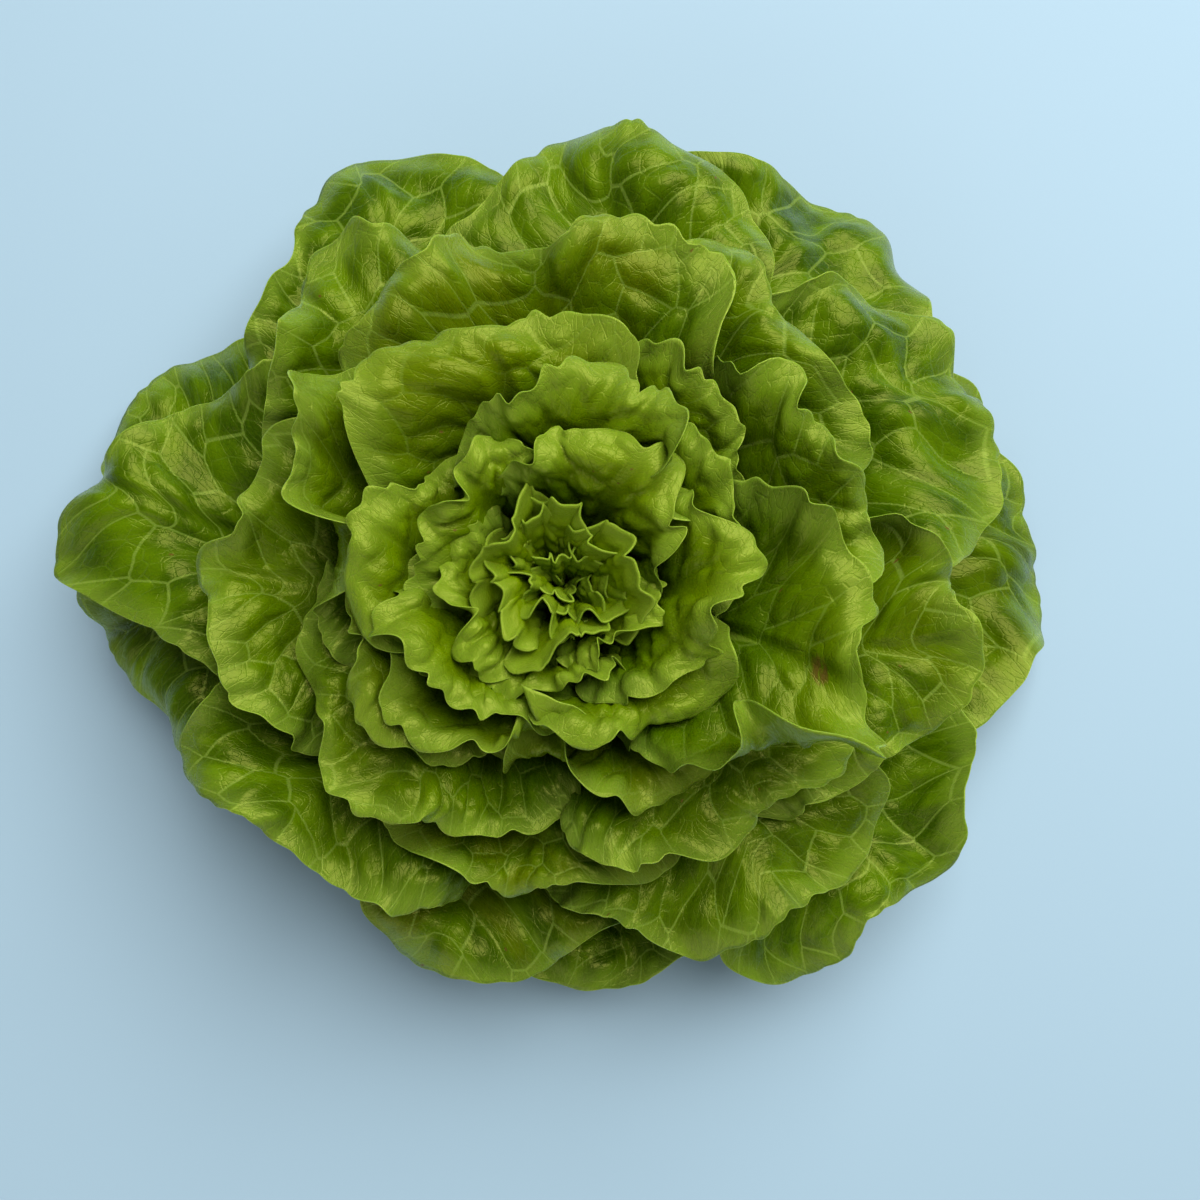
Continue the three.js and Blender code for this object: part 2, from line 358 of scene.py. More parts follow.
@dataclass(frozen=True)
class HeadForm:
    """The nested layers that the leaves lie on, from the innermost, at depth 0, to the outermost, at 1.

    Pairs are the values of the innermost and the outermost layer, unless their line says otherwise.

    Attributes:
        leaf_count: Leaves in the spiral.
        golden_angle: Turn from each leaf to the next.
        first_azimuth: Where the outermost leaf points.
        crowding: Power that sets the layers closer together outwards.
        crowded_from: Least share of the way out that the gap between layers is worked out for.
        stem_radius: Radius of the stalk at its foot and its top.
        stem_height: Height of the stalk's top.
        root_clearance: Gap between the stalk and the roots.
        root_height: Height of the roots.
        rise: Angle at which a layer leaves the stalk.
        rise_power: Power by which the rise falls off outwards.
        bend: How far a layer bends over along its length.
        curl_ends: How far the tips of the innermost and the outermost layer curl over.
        curl_middle: How much further the tips of the middle layers do.
        curl_power: How late along a leaf its curl sets in.
        length: Length of the innermost, middle and outermost layers.
        profile_steps: Steps in which a profile is followed.
        floor_height: Least height of a blade.
        floor_ease: Height below which blades are eased up.
        half_width: Half the width of a leaf.
        width_power: Power by which the width grows outwards.
        front_azimuth: The side on which the leaves are shorter.
        front_shortening: How much shorter they are there.
        swell_radius: Radii between which the swells set in.
        swells: Slow waves of the outer leaves.
        crumples: Smaller waves of the whole head.
    """

    leaf_count: int = 40
    golden_angle: float = math.pi * (3.0 - math.sqrt(5.0))
    first_azimuth: float = math.radians(3.0)
    crowding: float = 0.72
    crowded_from: float = 0.1
    stem_radius: Range = (17.5, 8.5)
    stem_height: float = 55.0
    root_clearance: float = 1.4
    root_height: Range = (51.0, 7.0)
    rise: Range = (math.radians(84.0), math.radians(18.0))
    rise_power: float = 2.0
    bend: Range = (math.radians(8.0), math.radians(28.0))
    curl_ends: float = math.radians(12.0)
    curl_middle: float = math.radians(30.0)
    curl_power: float = 4.0
    length: tuple[float, float, float] = (66.0, 106.0, 138.0)
    profile_steps: int = 24
    floor_height: float = 1.6
    floor_ease: float = 8.0
    half_width: Range = (22.0, 56.0)
    width_power: float = 0.75
    front_azimuth: float = math.radians(255.0)
    front_shortening: float = 0.24
    swell_radius: Range = (22.0, 70.0)
    swells: tuple[Swell, ...] = (
        Swell(96.0, 4.5, (0.8, 0.5, 0.33), (-0.4, 0.7, 0.6), 0.6),
        Swell(70.0, 3.2, (-0.55, 0.8, 0.24), (0.75, 0.4, -0.5), 2.1),
        Swell(52.0, 2.0, (0.3, -0.4, 0.87), (0.6, -0.7, 0.4), 4.0),
    )
    crumples: tuple[Swell, ...] = (
        Swell(39.0, 2.4, (0.9, 0.3, -0.3), (0.2, 0.5, 0.84), 1.2),
        Swell(28.0, 1.6, (-0.35, 0.9, 0.25), (0.75, 0.15, 0.6), 3.3),
        Swell(19.0, 0.8, (0.6, 0.7, -0.4), (-0.5, 0.5, 0.7), 5.1),
    )

    def layer(self, depth: Array) -> Layer:
        """Gives the layers at some depths.

        Args:
            depth: Depths, about 0 to 1.

        Returns:
            One value of each size for each depth.
        """
        root_height = lerp(*self.root_height, depth)
        inner, middle, outer = self.length
        hump = 4.0 * depth * (1.0 - depth)
        bent_depth = np.sign(depth) * np.abs(depth) ** self.rise_power
        return Layer(
            root_height,
            lerp(*self.stem_radius, root_height / self.stem_height) + self.root_clearance,
            lerp(*self.rise, bent_depth),
            lerp(*self.bend, depth),
            self.curl_ends + self.curl_middle * hump,
            lerp(inner, outer, depth) + (middle - (inner + outer) / 2.0) * hump,
        )

    def profile(self, depth: Array, share: Array) -> tuple[Array, Array]:
        """Follows the layers' profiles.

        Args:
            depth: Depth of each point.
            share: How far along its layer's length each point is.

        Returns:
            The points' radii and heights.
        """
        layer = self.layer(depth)
        step = share / self.profile_steps
        radius = layer.root_radius.copy()
        height = layer.root_height.copy()
        for number in range(self.profile_steps):
            at = (number + 0.5) * step
            curled = layer.curl * np.sign(at) * np.abs(at) ** self.curl_power
            angle = layer.rise - layer.bend * at - curled
            radius += layer.length * step * np.cos(angle)
            height += layer.length * step * np.sin(angle)
        return radius, height

    def settle(self, points: Array) -> Array:
        """Swells and crumples points of the head, and eases the low ones up from the surface it stands on.

        Args:
            points: Points in millimetres, one a row.

        Returns:
            The moved points.
        """
        share = smoothstep(np.hypot(points[:, 0], points[:, 1]), *self.swell_radius)
        moved = points.copy()
        for swell in self.swells:
            moved += np.outer(share * swell.at(points), swell.push)
        for crumple in self.crumples:
            moved += np.outer(crumple.at(points), crumple.push)
        room = self.floor_ease - self.floor_height
        low = np.minimum(moved[:, 2], self.floor_ease)
        eased = self.floor_height + room * np.exp((low - self.floor_ease) / room)
        moved[:, 2] = np.where(moved[:, 2] > self.floor_ease, moved[:, 2], eased)
        return moved


def disc_grid(cells: int) -> tuple[Array, Array]:
    """Maps a square grid on to the unit disc.

    Args:
        cells: Cells along each side.

    Returns:
        The points' places across and along the disc, row by row.
    """
    line = np.linspace(-1.0, 1.0, cells + 1)
    along, across = np.meshgrid(line, line, indexing="ij")
    across, along = across.ravel(), along.ravel()
    return across * np.sqrt(1.0 - along**2 / 2.0), along * np.sqrt(1.0 - across**2 / 2.0)


def select_only(*pieces: Piece) -> None:
    """Selects some pieces and nothing else.

    Args:
        pieces: The pieces. The first one becomes active.
    """
    bpy.ops.object.select_all(action="DESELECT")
    for piece in pieces:
        piece.select_set(True)
    bpy.context.view_layer.objects.active = pieces[0]


def active_piece(name: str) -> Piece:
    """Names the active piece and its mesh.

    Args:
        name: Its new name.

    Returns:
        The piece.
    """
    piece = bpy.context.active_object
    piece.name = name
    piece.data.name = name
    return piece


def add_grid(name: str, columns: int, rows: int) -> Piece:
    """Adds a flat grid primitive, to be shaped.

    Args:
        name: Name of the piece.
        columns: Cells across.
        rows: Cells along.

    Returns:
        The grid, selected and active, with its vertices row by row.
    """
    bpy.ops.object.select_all(action="DESELECT")
    bpy.ops.mesh.primitive_grid_add(x_subdivisions=columns, y_subdivisions=rows, size=2.0)
    return active_piece(name)


def move_vertices(piece: Piece, points: Array) -> None:
    """Puts a piece's vertices at points given in millimetres."""
    piece.data.vertices.foreach_set("co", (points * MM).ravel())
    piece.data.update()


def store(piece: Piece, name: str, *values: Array) -> None:
    """Stores three numbers a vertex as a named attribute."""
    layer = piece.data.attributes.new(name, "FLOAT_VECTOR", "POINT")
    layer.data.foreach_set("vector", np.column_stack(values).astype(np.float32).ravel())


def face_up(piece: Piece) -> None:
    """Turns a blade's faces to its upper side.

    Args:
        piece: The blade.
    """
    select_only(piece)
    bpy.ops.object.mode_set(mode="EDIT")
    bpy.ops.mesh.select_all(action="SELECT")
    bpy.ops.mesh.flip_normals()
    bpy.ops.object.mode_set(mode="OBJECT")


def raise_blisters(piece: Piece, blisters: Tree, height: float) -> None:
    """Adds the modifier that raises a blade between its veins.

    Args:
        piece: The blade.
        blisters: The geometry tree that raises it.
        height: Height of the blisters, in millimetres.
    """
    raise_up = piece.modifiers.new("blisters", "NODES")
    raise_up.node_group = blisters
    socket = next(item for item in blisters.interface.items_tree if item.name == "Height")
    raise_up[socket.identifier] = height * MM


def add_shell(piece: Piece, thickness: float, offset: float) -> bpy.types.SolidifyModifier:
    """Adds the modifier that gives a blade its thickness and its underside's material.

    Args:
        piece: The blade.
        thickness: Its thickness, in millimetres.
        offset: Which way it goes: -1 below the face, 0 to both sides.

    Returns:
        The modifier.
    """
    shell = piece.modifiers.new("thickness", "SOLIDIFY")
    shell.thickness = thickness * MM
    shell.offset = offset
    shell.material_offset = 1
    return shell


def finish_blade(piece: Piece) -> None:
    """Applies a blade's modifiers in their order, and smooths it.

    Args:
        piece: The blade.
    """
    select_only(piece)
    for modifier in list(piece.modifiers):
        bpy.ops.object.modifier_apply(modifier=modifier.name)
    bpy.ops.object.shade_smooth()


def new_material(name: str) -> tuple[Material, Shader]:
    """Makes a material.

    Args:
        name: Its name.

    Returns:
        The material and its shader.
    """
    material = bpy.data.materials.new(name)
    material.use_nodes = True
    return material, material.node_tree.nodes["Principled BSDF"]


class Wiring:
    """Short ways to add the common nodes to a tree.

    Attributes:
        dot_edge: Where a dot ends and where it is full, against its radius.
        rarity_step: How sharply the places that stay empty are told from the others.
    """

    dot_edge: Range = (1.4, 0.6)
    rarity_step: float = 0.01

    def __init__(self, tree: Tree) -> None:
        """Keeps the tree that the nodes go to."""
        self.tree = tree

    def attribute(self, name: str) -> Socket:
        """Reads a named attribute in a shader tree.

        Args:
            name: Its name.

        Returns:
            Its vector.
        """
        node = self.tree.nodes.new("ShaderNodeAttribute")
        node.attribute_name = name
        return node.outputs["Vector"]

    def named_vector(self, name: str) -> Socket:
        """Reads a named attribute in a geometry tree.

        Args:
            name: Its name.

        Returns:
            Its vector.
        """
        node = self.tree.nodes.new("GeometryNodeInputNamedAttribute")
        node.data_type = "FLOAT_VECTOR"
        node.inputs["Name"].default_value = name
        return node.outputs["Attribute"]

    def split(self, vector: Socket) -> dict[str, Socket]:
        """Splits a vector.

        Args:
            vector: The vector.

        Returns:
            Its three numbers, by the letters X, Y and Z.
        """
        node = self.tree.nodes.new("ShaderNodeSeparateXYZ")
        self.tree.links.new(vector, node.inputs["Vector"])
        return {name: node.outputs[name] for name in "XYZ"}

    def ramp(self, value: Socket, zero: float, one: float, shape: str = "SMOOTHSTEP") -> Socket:
        """Goes from 0 to 1 with a value.

        Args:
            value: The value.
            zero: Where the ramp is 0.
            one: Where it is 1.
            shape: How it goes from one to the other.

        Returns:
            The ramp's height.
        """
        node = self.tree.nodes.new("ShaderNodeMapRange")
        node.interpolation_type = shape
        node.inputs["From Min"].default_value = zero
        node.inputs["From Max"].default_value = one
        self.tree.links.new(value, node.inputs["Value"])
        return node.outputs["Result"]

    def noise(self, place: Socket, scale: float, detail: float) -> Socket:
        """Adds soft noise.

        Args:
            place: Socket with the place on the piece.
            scale: Patches in a unit of it.
            detail: How many finer octaves it has.

        Returns:
            Its value of 0 to 1.
        """
        node = self.tree.nodes.new("ShaderNodeTexNoise")
        node.inputs["Scale"].default_value = scale
        node.inputs["Detail"].default_value = detail
        self.tree.links.new(place, node.inputs["Vector"])
        return node.outputs["Fac"]

    def dots(self, place: Socket, scale: float, size: float, rarity: float) -> Socket:
        """Scatters small dots.

        Args:
            place: Socket with the place on the blade.
            scale: Places for a dot in a unit of it.
            size: Radius of a dot against their spacing.
            rarity: Share of the places that stay empty.

        Returns:
            1 on a dot and 0 elsewhere.
        """
        node = self.tree.nodes.new("ShaderNodeTexVoronoi")
        node.voronoi_dimensions = "2D"
        node.inputs["Scale"].default_value = scale
        self.tree.links.new(place, node.inputs["Vector"])
        lot = self.split(node.outputs["Color"])["X"]
        chosen = self.ramp(lot, rarity, rarity + self.rarity_step)
        outside, inside = self.dot_edge
        return self.product(self.ramp(node.outputs["Distance"], outside * size, inside * size), chosen)

    def calculate(self, operation: str, *values: Socket | float) -> Socket:
        """Adds one sum.

        Args:
            operation: Its kind.
            values: The sockets and numbers that it takes.

        Returns:
            Its result.
        """
        node = self.tree.nodes.new("ShaderNodeMath")
        node.operation = operation
        for value, socket in zip(values, node.inputs):
            if isinstance(value, float):
                socket.default_value = value
            else:
                self.tree.links.new(value, socket)
        return node.outputs["Value"]

    def product(self, first: Socket, second: Socket | float) -> Socket:
        """Multiplies two values."""
        return self.calculate("MULTIPLY", first, second)

    def add(self, first: Socket, second: Socket) -> Socket:
        """Adds two values."""
        return self.calculate("ADD", first, second)

    def mix(self, share: Socket, low: Socket, high: Socket) -> Socket:
        """Mixes two colours.

        Args:
            share: Share of the second one, of 0 to 1.
            low: The first colour.
            high: The second colour.

        Returns:
            The mixed colour.
        """
        node = self.tree.nodes.new("ShaderNodeMix")
        node.data_type = "RGBA"
        node.clamp_factor = True
        self.tree.links.new(share, node.inputs["Factor"])
        colours = [socket for socket in node.inputs if socket.type == "RGBA"]
        self.tree.links.new(low, colours[0])
        self.tree.links.new(high, colours[1])
        return next(socket for socket in node.outputs if socket.type == "RGBA")

    def bump(self, height: Socket, strength: float, depth: float) -> Socket:
        """Adds fine relief.

        Args:
            height: Its height of 0 to 1.
            strength: How much it shows.
            depth: What a height of 1 stands for, in millimetres.

        Returns:
            The normal.
        """
        node = self.tree.nodes.new("ShaderNodeBump")
        node.inputs["Strength"].default_value = strength
        node.inputs["Distance"].default_value = depth * MM
        self.tree.links.new(height, node.inputs["Height"])
        return node.outputs["Normal"]


@dataclass(frozen=True)
class VeinNet:
    """The net of veins, which both the blisters and the colours follow.

    Attributes:
        randomness: How irregular the meshes of the net are.
        coarse_scale: Size of the first net's meshes against the blade's rows.
        fine_scale: How many times finer the second net is.
        finest_scale: How many times finer the third net is.
        blister_edge: Share of a mesh over which its blister rises.
        fine_share: Height of the fine net's blisters against the coarse one's.
    """

    randomness: float = 0.9
    coarse_scale: float = 1.0
    fine_scale: float = 2.7
    finest_scale: float = 7.3
    blister_edge: float = 0.5
    fine_share: float = 0.28

    def off_vein(self, tree: Tree, place: Socket, scale: float) -> Socket:
        """Adds a net to a tree.

        Args:
            tree: Shader or geometry tree.
            place: Socket with the place on the blade.
            scale: Meshes in a unit of that place.

        Returns:
            The distance to the nearest vein, in meshes.
        """
        net = tree.nodes.new("ShaderNodeTexVoronoi")
        net.voronoi_dimensions = "2D"
        net.feature = "DISTANCE_TO_EDGE"
        net.inputs["Scale"].default_value = scale
        net.inputs["Randomness"].default_value = self.randomness
        tree.links.new(place, net.inputs["Vector"])
        return net.outputs["Distance"]

    def _domes(self, wire: Wiring, place: Socket, scale: float) -> Socket:
        """Adds a net whose meshes bulge into domes.

        Args:
            wire: The tree's wiring.
            place: Socket with the place on the blade.
            scale: Meshes in a unit of that place.

        Returns:
            The domes' height of 0 to 1.
        """
        share = wire.ramp(self.off_vein(wire.tree, place, scale), 0.0, self.blister_edge, "LINEAR")
        return wire.product(share, wire.calculate("SUBTRACT", 2.0, share))

    def blister_tree(self) -> Tree:
        """Builds the geometry tree that raises the blade between its veins.

        Returns:
            The tree, with the height of the blisters as its second input.
        """
        tree = bpy.data.node_groups.new("raise_blisters", "GeometryNodeTree")
        tree.interface.new_socket("Geometry", in_out="INPUT", socket_type="NodeSocketGeometry")
        tree.interface.new_socket("Height", in_out="INPUT", socket_type="NodeSocketFloat")
        tree.interface.new_socket("Geometry", in_out="OUTPUT", socket_type="NodeSocketGeometry")
        wire = Wiring(tree)
        start = tree.nodes.new("NodeGroupInput")
        end = tree.nodes.new("NodeGroupOutput")
        place = wire.named_vector(VEIN_SPACE)
        swollen = wire.split(wire.named_vector(BLADE_TRAITS))["Z"]
        fine = wire.product(self._domes(wire, place, self.fine_scale), self.fine_share)
        domes = wire.add(fine, self._domes(wire, place, self.coarse_scale))
        height = wire.product(wire.product(domes, swollen), start.outputs["Height"])
        normal = tree.nodes.new("GeometryNodeInputNormal")
        offset = tree.nodes.new("ShaderNodeVectorMath")
        offset.operation = "SCALE"
        tree.links.new(normal.outputs["Normal"], offset.inputs["Vector"])
        tree.links.new(height, offset.inputs["Scale"])
        move = tree.nodes.new("GeometryNodeSetPosition")
        tree.links.new(start.outputs["Geometry"], move.inputs["Geometry"])
        tree.links.new(offset.outputs["Vector"], move.inputs["Offset"])
        tree.links.new(move.outputs["Geometry"], end.inputs["Geometry"])
        return tree


@dataclass(frozen=True)
class BladeFinish:
    """The colours and gloss of one side of a blade.

    Attributes:
        name: Name of the material.
        deep: Colour of the full-grown blade's darker patches, and of the lower blade's deeper green and
            painted shade.
        bright: Colour of its lighter patches.
        olive: Colour of the yellower patches that some leaves have.
        young: Colour of a young blade.
        vein: Colour of the veins.
        margin: Colour of the thin light margin.
        root: Colour near the root and on the midrib.
        blemish: Colour of its brown marks.
        vein_share: How much the veins show.
        roughness: Roughness of the surface.
        bump: Strength of the fine relief.
    """

    name: str
    deep: Colour
    bright: Colour
    olive: Colour
    young: Colour
    vein: Colour
    margin: Colour
    root: Colour
    blemish: Colour
    vein_share: float
    roughness: float
    bump: float


UPPER_FINISH = BladeFinish(
    name="blade_upper",
    deep=(0.034, 0.082, 0.0),
    bright=(0.104, 0.196, 0.0),
    olive=(0.106, 0.142, 0.0),
    young=(0.155, 0.240, 0.0),
    vein=(0.235, 0.345, 0.045),
    margin=(0.290, 0.420, 0.045),
    root=(0.180, 0.280, 0.020),
    blemish=(0.135, 0.088, 0.012),
    vein_share=0.55,
    roughness=0.22,
    bump=0.36,
)
UNDER_FINISH = BladeFinish(
    name="blade_under",
    deep=(0.220, 0.310, 0.085),
    bright=(0.280, 0.385, 0.120),
    olive=(0.250, 0.330, 0.090),
    young=(0.280, 0.380, 0.100),
    vein=(0.360, 0.490, 0.140),
    margin=(0.400, 0.540, 0.140),
    root=(0.440, 0.540, 0.220),
    blemish=(0.170, 0.110, 0.040),
    vein_share=0.7,
    roughness=0.5,
    bump=0.3,
)


@dataclass(frozen=True)
class BladePattern:
    """Where each colour of a blade goes.

    A pair is where a colour is 0 and where it is full, and a noise is its scale and its detail.

    Attributes:
        coarse_line: Distances to a coarse vein, in meshes.
        fine_line: Distances to a fine vein.
        finest_line: Distances to one of the finest veins.
        fine_share: How much the fine veins show against the coarse ones.
        veined_leaves: Youth over which the veins fade out.
        patch_noise: The deep and bright patches.
        patch_range: Values of it.
        olive_leaves: Tone of the leaves that have olive patches.
        olive_noise: Those patches.
        olive_range: Values of them.
        olive_share: How much they show.
        young_range: Shares of the length over which the young colour sets in.
        deep_and_shade_range: Shares of the length over which the lower blade goes to the deep colour,
            partly its deeper green and partly painted shade.
        deep_and_shade_leaves: Youth over which that deeper green and painted shade set in.
        deep_and_shade_share: How much the deeper green and painted shade show.
        grain_noise: The fine grain of the surface.
        grain_range: Values of it.
        grain_share: How much it shows.
        root_range: Shares of the length over which the root's colour sets in.
        rib_range: Half widths off the midrib.
        rib_share: How much the midrib shows.
        rim_range: Millimetres from the rim over which the blade grows lighter.
        rim_share: How much lighter it grows.
        line_range: Millimetres from the rim of the thin light line.
        line_leaves: Youth over which the line fades out.
        mark_noise: The ragged edge of the brown marks.
        mark_edge: Values of it.
        mark_range: Strengths of a mark.
        mark_share: How much a mark shows.
        spot_scale: Places for a brown speck in a unit of the net.
        spot_size: Radius of a speck against their spacing.
        spot_rarity: Share of the places that stay empty.
        rough_grain: How much the grain roughens the gloss.
        fine_crease: Height of the fine veins in the relief.
        finest_crease: Height of the finest veins.
        grain_height: Height of the grain.
        relief_depth: What a height of 1 stands for, in millimetres.
    """

    coarse_line: Range = (0.031, 0.01)
    fine_line: Range = (0.05, 0.01)
    finest_line: Range = (0.12, 0.01)
    fine_share: float = 0.2
    veined_leaves: Range = (0.75, 0.1)
    patch_noise: Range = (1.3, 3.0)
    patch_range: Range = (0.35, 0.68)
    olive_leaves: Range = (0.2, 1.0)
    olive_noise: Range = (0.6, 2.0)
    olive_range: Range = (0.35, 0.6)
    olive_share: float = 0.8
    young_range: Range = (0.5, 0.97)
    deep_and_shade_range: Range = (0.95, 0.5)
    deep_and_shade_leaves: Range = (-0.3, 0.5)
    deep_and_shade_share: float = 0.75
    grain_noise: Range = (14.0, 2.0)
    grain_range: Range = (0.45, 0.75)
    grain_share: float = 0.22
    root_range: Range = (0.34, 0.04)
    rib_range: Range = (1.0, 0.35)
    rib_share: float = 0.8
    rim_range: Range = (8.0, 0.5)
    rim_share: float = 0.36
    line_range: Range = (0.3, 0.05)
    line_leaves: Range = (1.6, -0.2)
    mark_noise: Range = (9.0, 3.0)
    mark_edge: Range = (0.25, 0.6)
    mark_range: Range = (0.15, 0.7)
    mark_share: float = 0.9
    spot_scale: float = 1.6
    spot_size: float = 0.045
    spot_rarity: float = 0.96
    rough_grain: float = 0.12
    fine_crease: float = -0.5
    finest_crease: float = -0.35
    grain_height: float = 0.5
    relief_depth: float = 0.4


class BladeGroup:
    """The shader group that gives a blade's colour, roughness and fine relief.

    Attributes:
        colours: Colours that go into it.
        values: Numbers that go into it.
        results: Numbers that come out of it beside the colour.
    """

    colours: tuple[str, ...] = ("Deep", "Bright", "Olive", "Young", "Vein", "Margin", "Root", "Blemish")
    values: tuple[str, ...] = ("Vein Share", "Roughness")
    results: tuple[str, ...] = ("Roughness", "Relief")

    def __init__(self, net: VeinNet, pattern: BladePattern) -> None:
        """Builds the group.

        Args:
            net: The net of veins.
            pattern: Where the colours go.
        """
        self.pattern = pattern
        self.tree = bpy.data.node_groups.new("blade_colour", "ShaderNodeTree")
        self._add_sockets()
        self.wire = Wiring(self.tree)
        self.given = self.tree.nodes.new("NodeGroupInput").outputs
        self.veins = self.wire.attribute(VEIN_SPACE)
        self.place = self.wire.split(self.wire.attribute(BLADE_PLACE))
        self.traits = self.wire.split(self.wire.attribute(BLADE_TRAITS))
        self.coarse = self._lines(net, net.coarse_scale, pattern.coarse_line)
        self.fine = self._lines(net, net.fine_scale, pattern.fine_line)
        self.finest = self._lines(net, net.finest_scale, pattern.finest_line)
        self.grain = self.wire.noise(self.veins, *pattern.grain_noise)
        end = self.tree.nodes.new("NodeGroupOutput")
        colour = self._marked(self._edged(self._veined(self._flesh())))
        self.tree.links.new(colour, end.inputs["Colour"])
        self.tree.links.new(self._roughness(), end.inputs["Roughness"])
        self.tree.links.new(self._relief(), end.inputs["Relief"])

    def _add_sockets(self) -> None:
        """Names what goes into the group and what comes out of it."""
        sockets = self.tree.interface
        for name in self.colours:
            sockets.new_socket(name, in_out="INPUT", socket_type="NodeSocketColor")
        for name in self.values:
            sockets.new_socket(name, in_out="INPUT", socket_type="NodeSocketFloat")
        sockets.new_socket("Colour", in_out="OUTPUT", socket_type="NodeSocketColor")
        for name in self.results:
            sockets.new_socket(name, in_out="OUTPUT", socket_type="NodeSocketFloat")

    def _lines(self, net: VeinNet, scale: float, line: Range) -> Socket:
        """Draws one net's veins as lines, 1 on a vein and 0 beside it."""
        return self.wire.ramp(net.off_vein(self.tree, self.veins, scale), *line)

    def _flesh(self) -> Socket:
        """Colours the blade without its veins.

        Returns:
            The colour: deep, bright and olive patches, young towards the tips of the inner leaves, and the
                lower blade pulled to the deep colour, partly deeper green and partly painted shade.
        """
        wire, given, pattern = self.wire, self.given, self.pattern
        patches = wire.ramp(wire.noise(self.veins, *pattern.patch_noise), *pattern.patch_range)
        patched = wire.mix(patches, given["Deep"], given["Bright"])
        olives = wire.ramp(wire.noise(self.veins, *pattern.olive_noise), *pattern.olive_range)
        tone = wire.product(wire.ramp(self.traits["Y"], *pattern.olive_leaves), olives)
        toned = wire.mix(wire.product(tone, pattern.olive_share), patched, given["Olive"])
        youth = wire.product(self.traits["X"], wire.ramp(self.place["Y"], *pattern.young_range))
        tipped = wire.mix(youth, toned, given["Young"])
        # Deeper green and painted shade: the lower blade, most on the inner leaves, goes to the deep
        # colour.
        inside = wire.ramp(self.place["Y"], *pattern.deep_and_shade_range)
        inner = wire.product(inside, wire.ramp(self.traits["X"], *pattern.deep_and_shade_leaves))
        deepened_and_shaded = wire.mix(wire.product(inner, pattern.deep_and_shade_share), tipped, given["Deep"])
        grain = wire.ramp(self.grain, *pattern.grain_range)
        return wire.mix(wire.product(grain, pattern.grain_share), deepened_and_shaded, given["Bright"])

    def _veined(self, flesh: Socket) -> Socket:
        """Adds the root, the net of veins and the midrib.

        Args:
            flesh: The blade's colour without them.

        Returns:
            The colour with them.
        """
        wire, given, pattern = self.wire, self.given, self.pattern
        rooted = wire.mix(wire.ramp(self.place["Y"], *pattern.root_range), flesh, given["Root"])
        shown = wire.product(wire.ramp(self.traits["X"], *pattern.veined_leaves), given["Vein Share"])
        lines = wire.add(self.coarse, wire.product(self.fine, pattern.fine_share))
        netted = wire.mix(wire.product(lines, shown), rooted, given["Vein"])
        rib = wire.product(wire.ramp(self.place["X"], *pattern.rib_range), pattern.rib_share)
        return wire.mix(rib, netted, given["Root"])

    def _edged(self, colour: Socket) -> Socket:
        """Lightens the blade towards its rim and lines the rim.

        Args:
            colour: The colour so far.

        Returns:
            The colour with a light margin.
        """
        wire, given, pattern = self.wire, self.given, self.pattern
        rim = wire.product(wire.ramp(self.place["Z"], *pattern.rim_range), pattern.rim_share)
        lit = wire.mix(rim, colour, given["Margin"])
        lined = wire.ramp(self.traits["X"], *pattern.line_leaves)
        line = wire.product(wire.ramp(self.place["Z"], *pattern.line_range), lined)
        return wire.mix(line, lit, given["Margin"])

    def _marked(self, colour: Socket) -> Socket:
        """Adds brown marks and specks.

        Args:
            colour: The colour so far.

        Returns:
            The colour with them.
        """
        wire, pattern = self.wire, self.pattern
        mark = wire.split(wire.attribute(BLADE_MARKS))["X"]
        edge = wire.ramp(wire.noise(self.veins, *pattern.mark_noise), *pattern.mark_edge)
        ragged = wire.ramp(wire.product(mark, edge), *pattern.mark_range)
        spots = wire.dots(self.veins, pattern.spot_scale, pattern.spot_size, pattern.spot_rarity)
        marks = wire.add(wire.product(ragged, pattern.mark_share), spots)
        return wire.mix(marks, colour, self.given["Blemish"])

    def _roughness(self) -> Socket:
        """Gives the roughness, uneven with the grain."""
        grain = self.wire.product(self.grain, self.pattern.rough_grain)
        return self.wire.add(self.given["Roughness"], grain)

    def _relief(self) -> Socket:
        """Gives the height of the fine relief.

        Returns:
            Creases along the fine veins, with the grain between them.
        """
        wire, pattern = self.wire, self.pattern
        fine = wire.product(self.fine, pattern.fine_crease)
        creases = wire.add(fine, wire.product(self.finest, pattern.finest_crease))
        return wire.add(creases, wire.product(self.grain, pattern.grain_height))


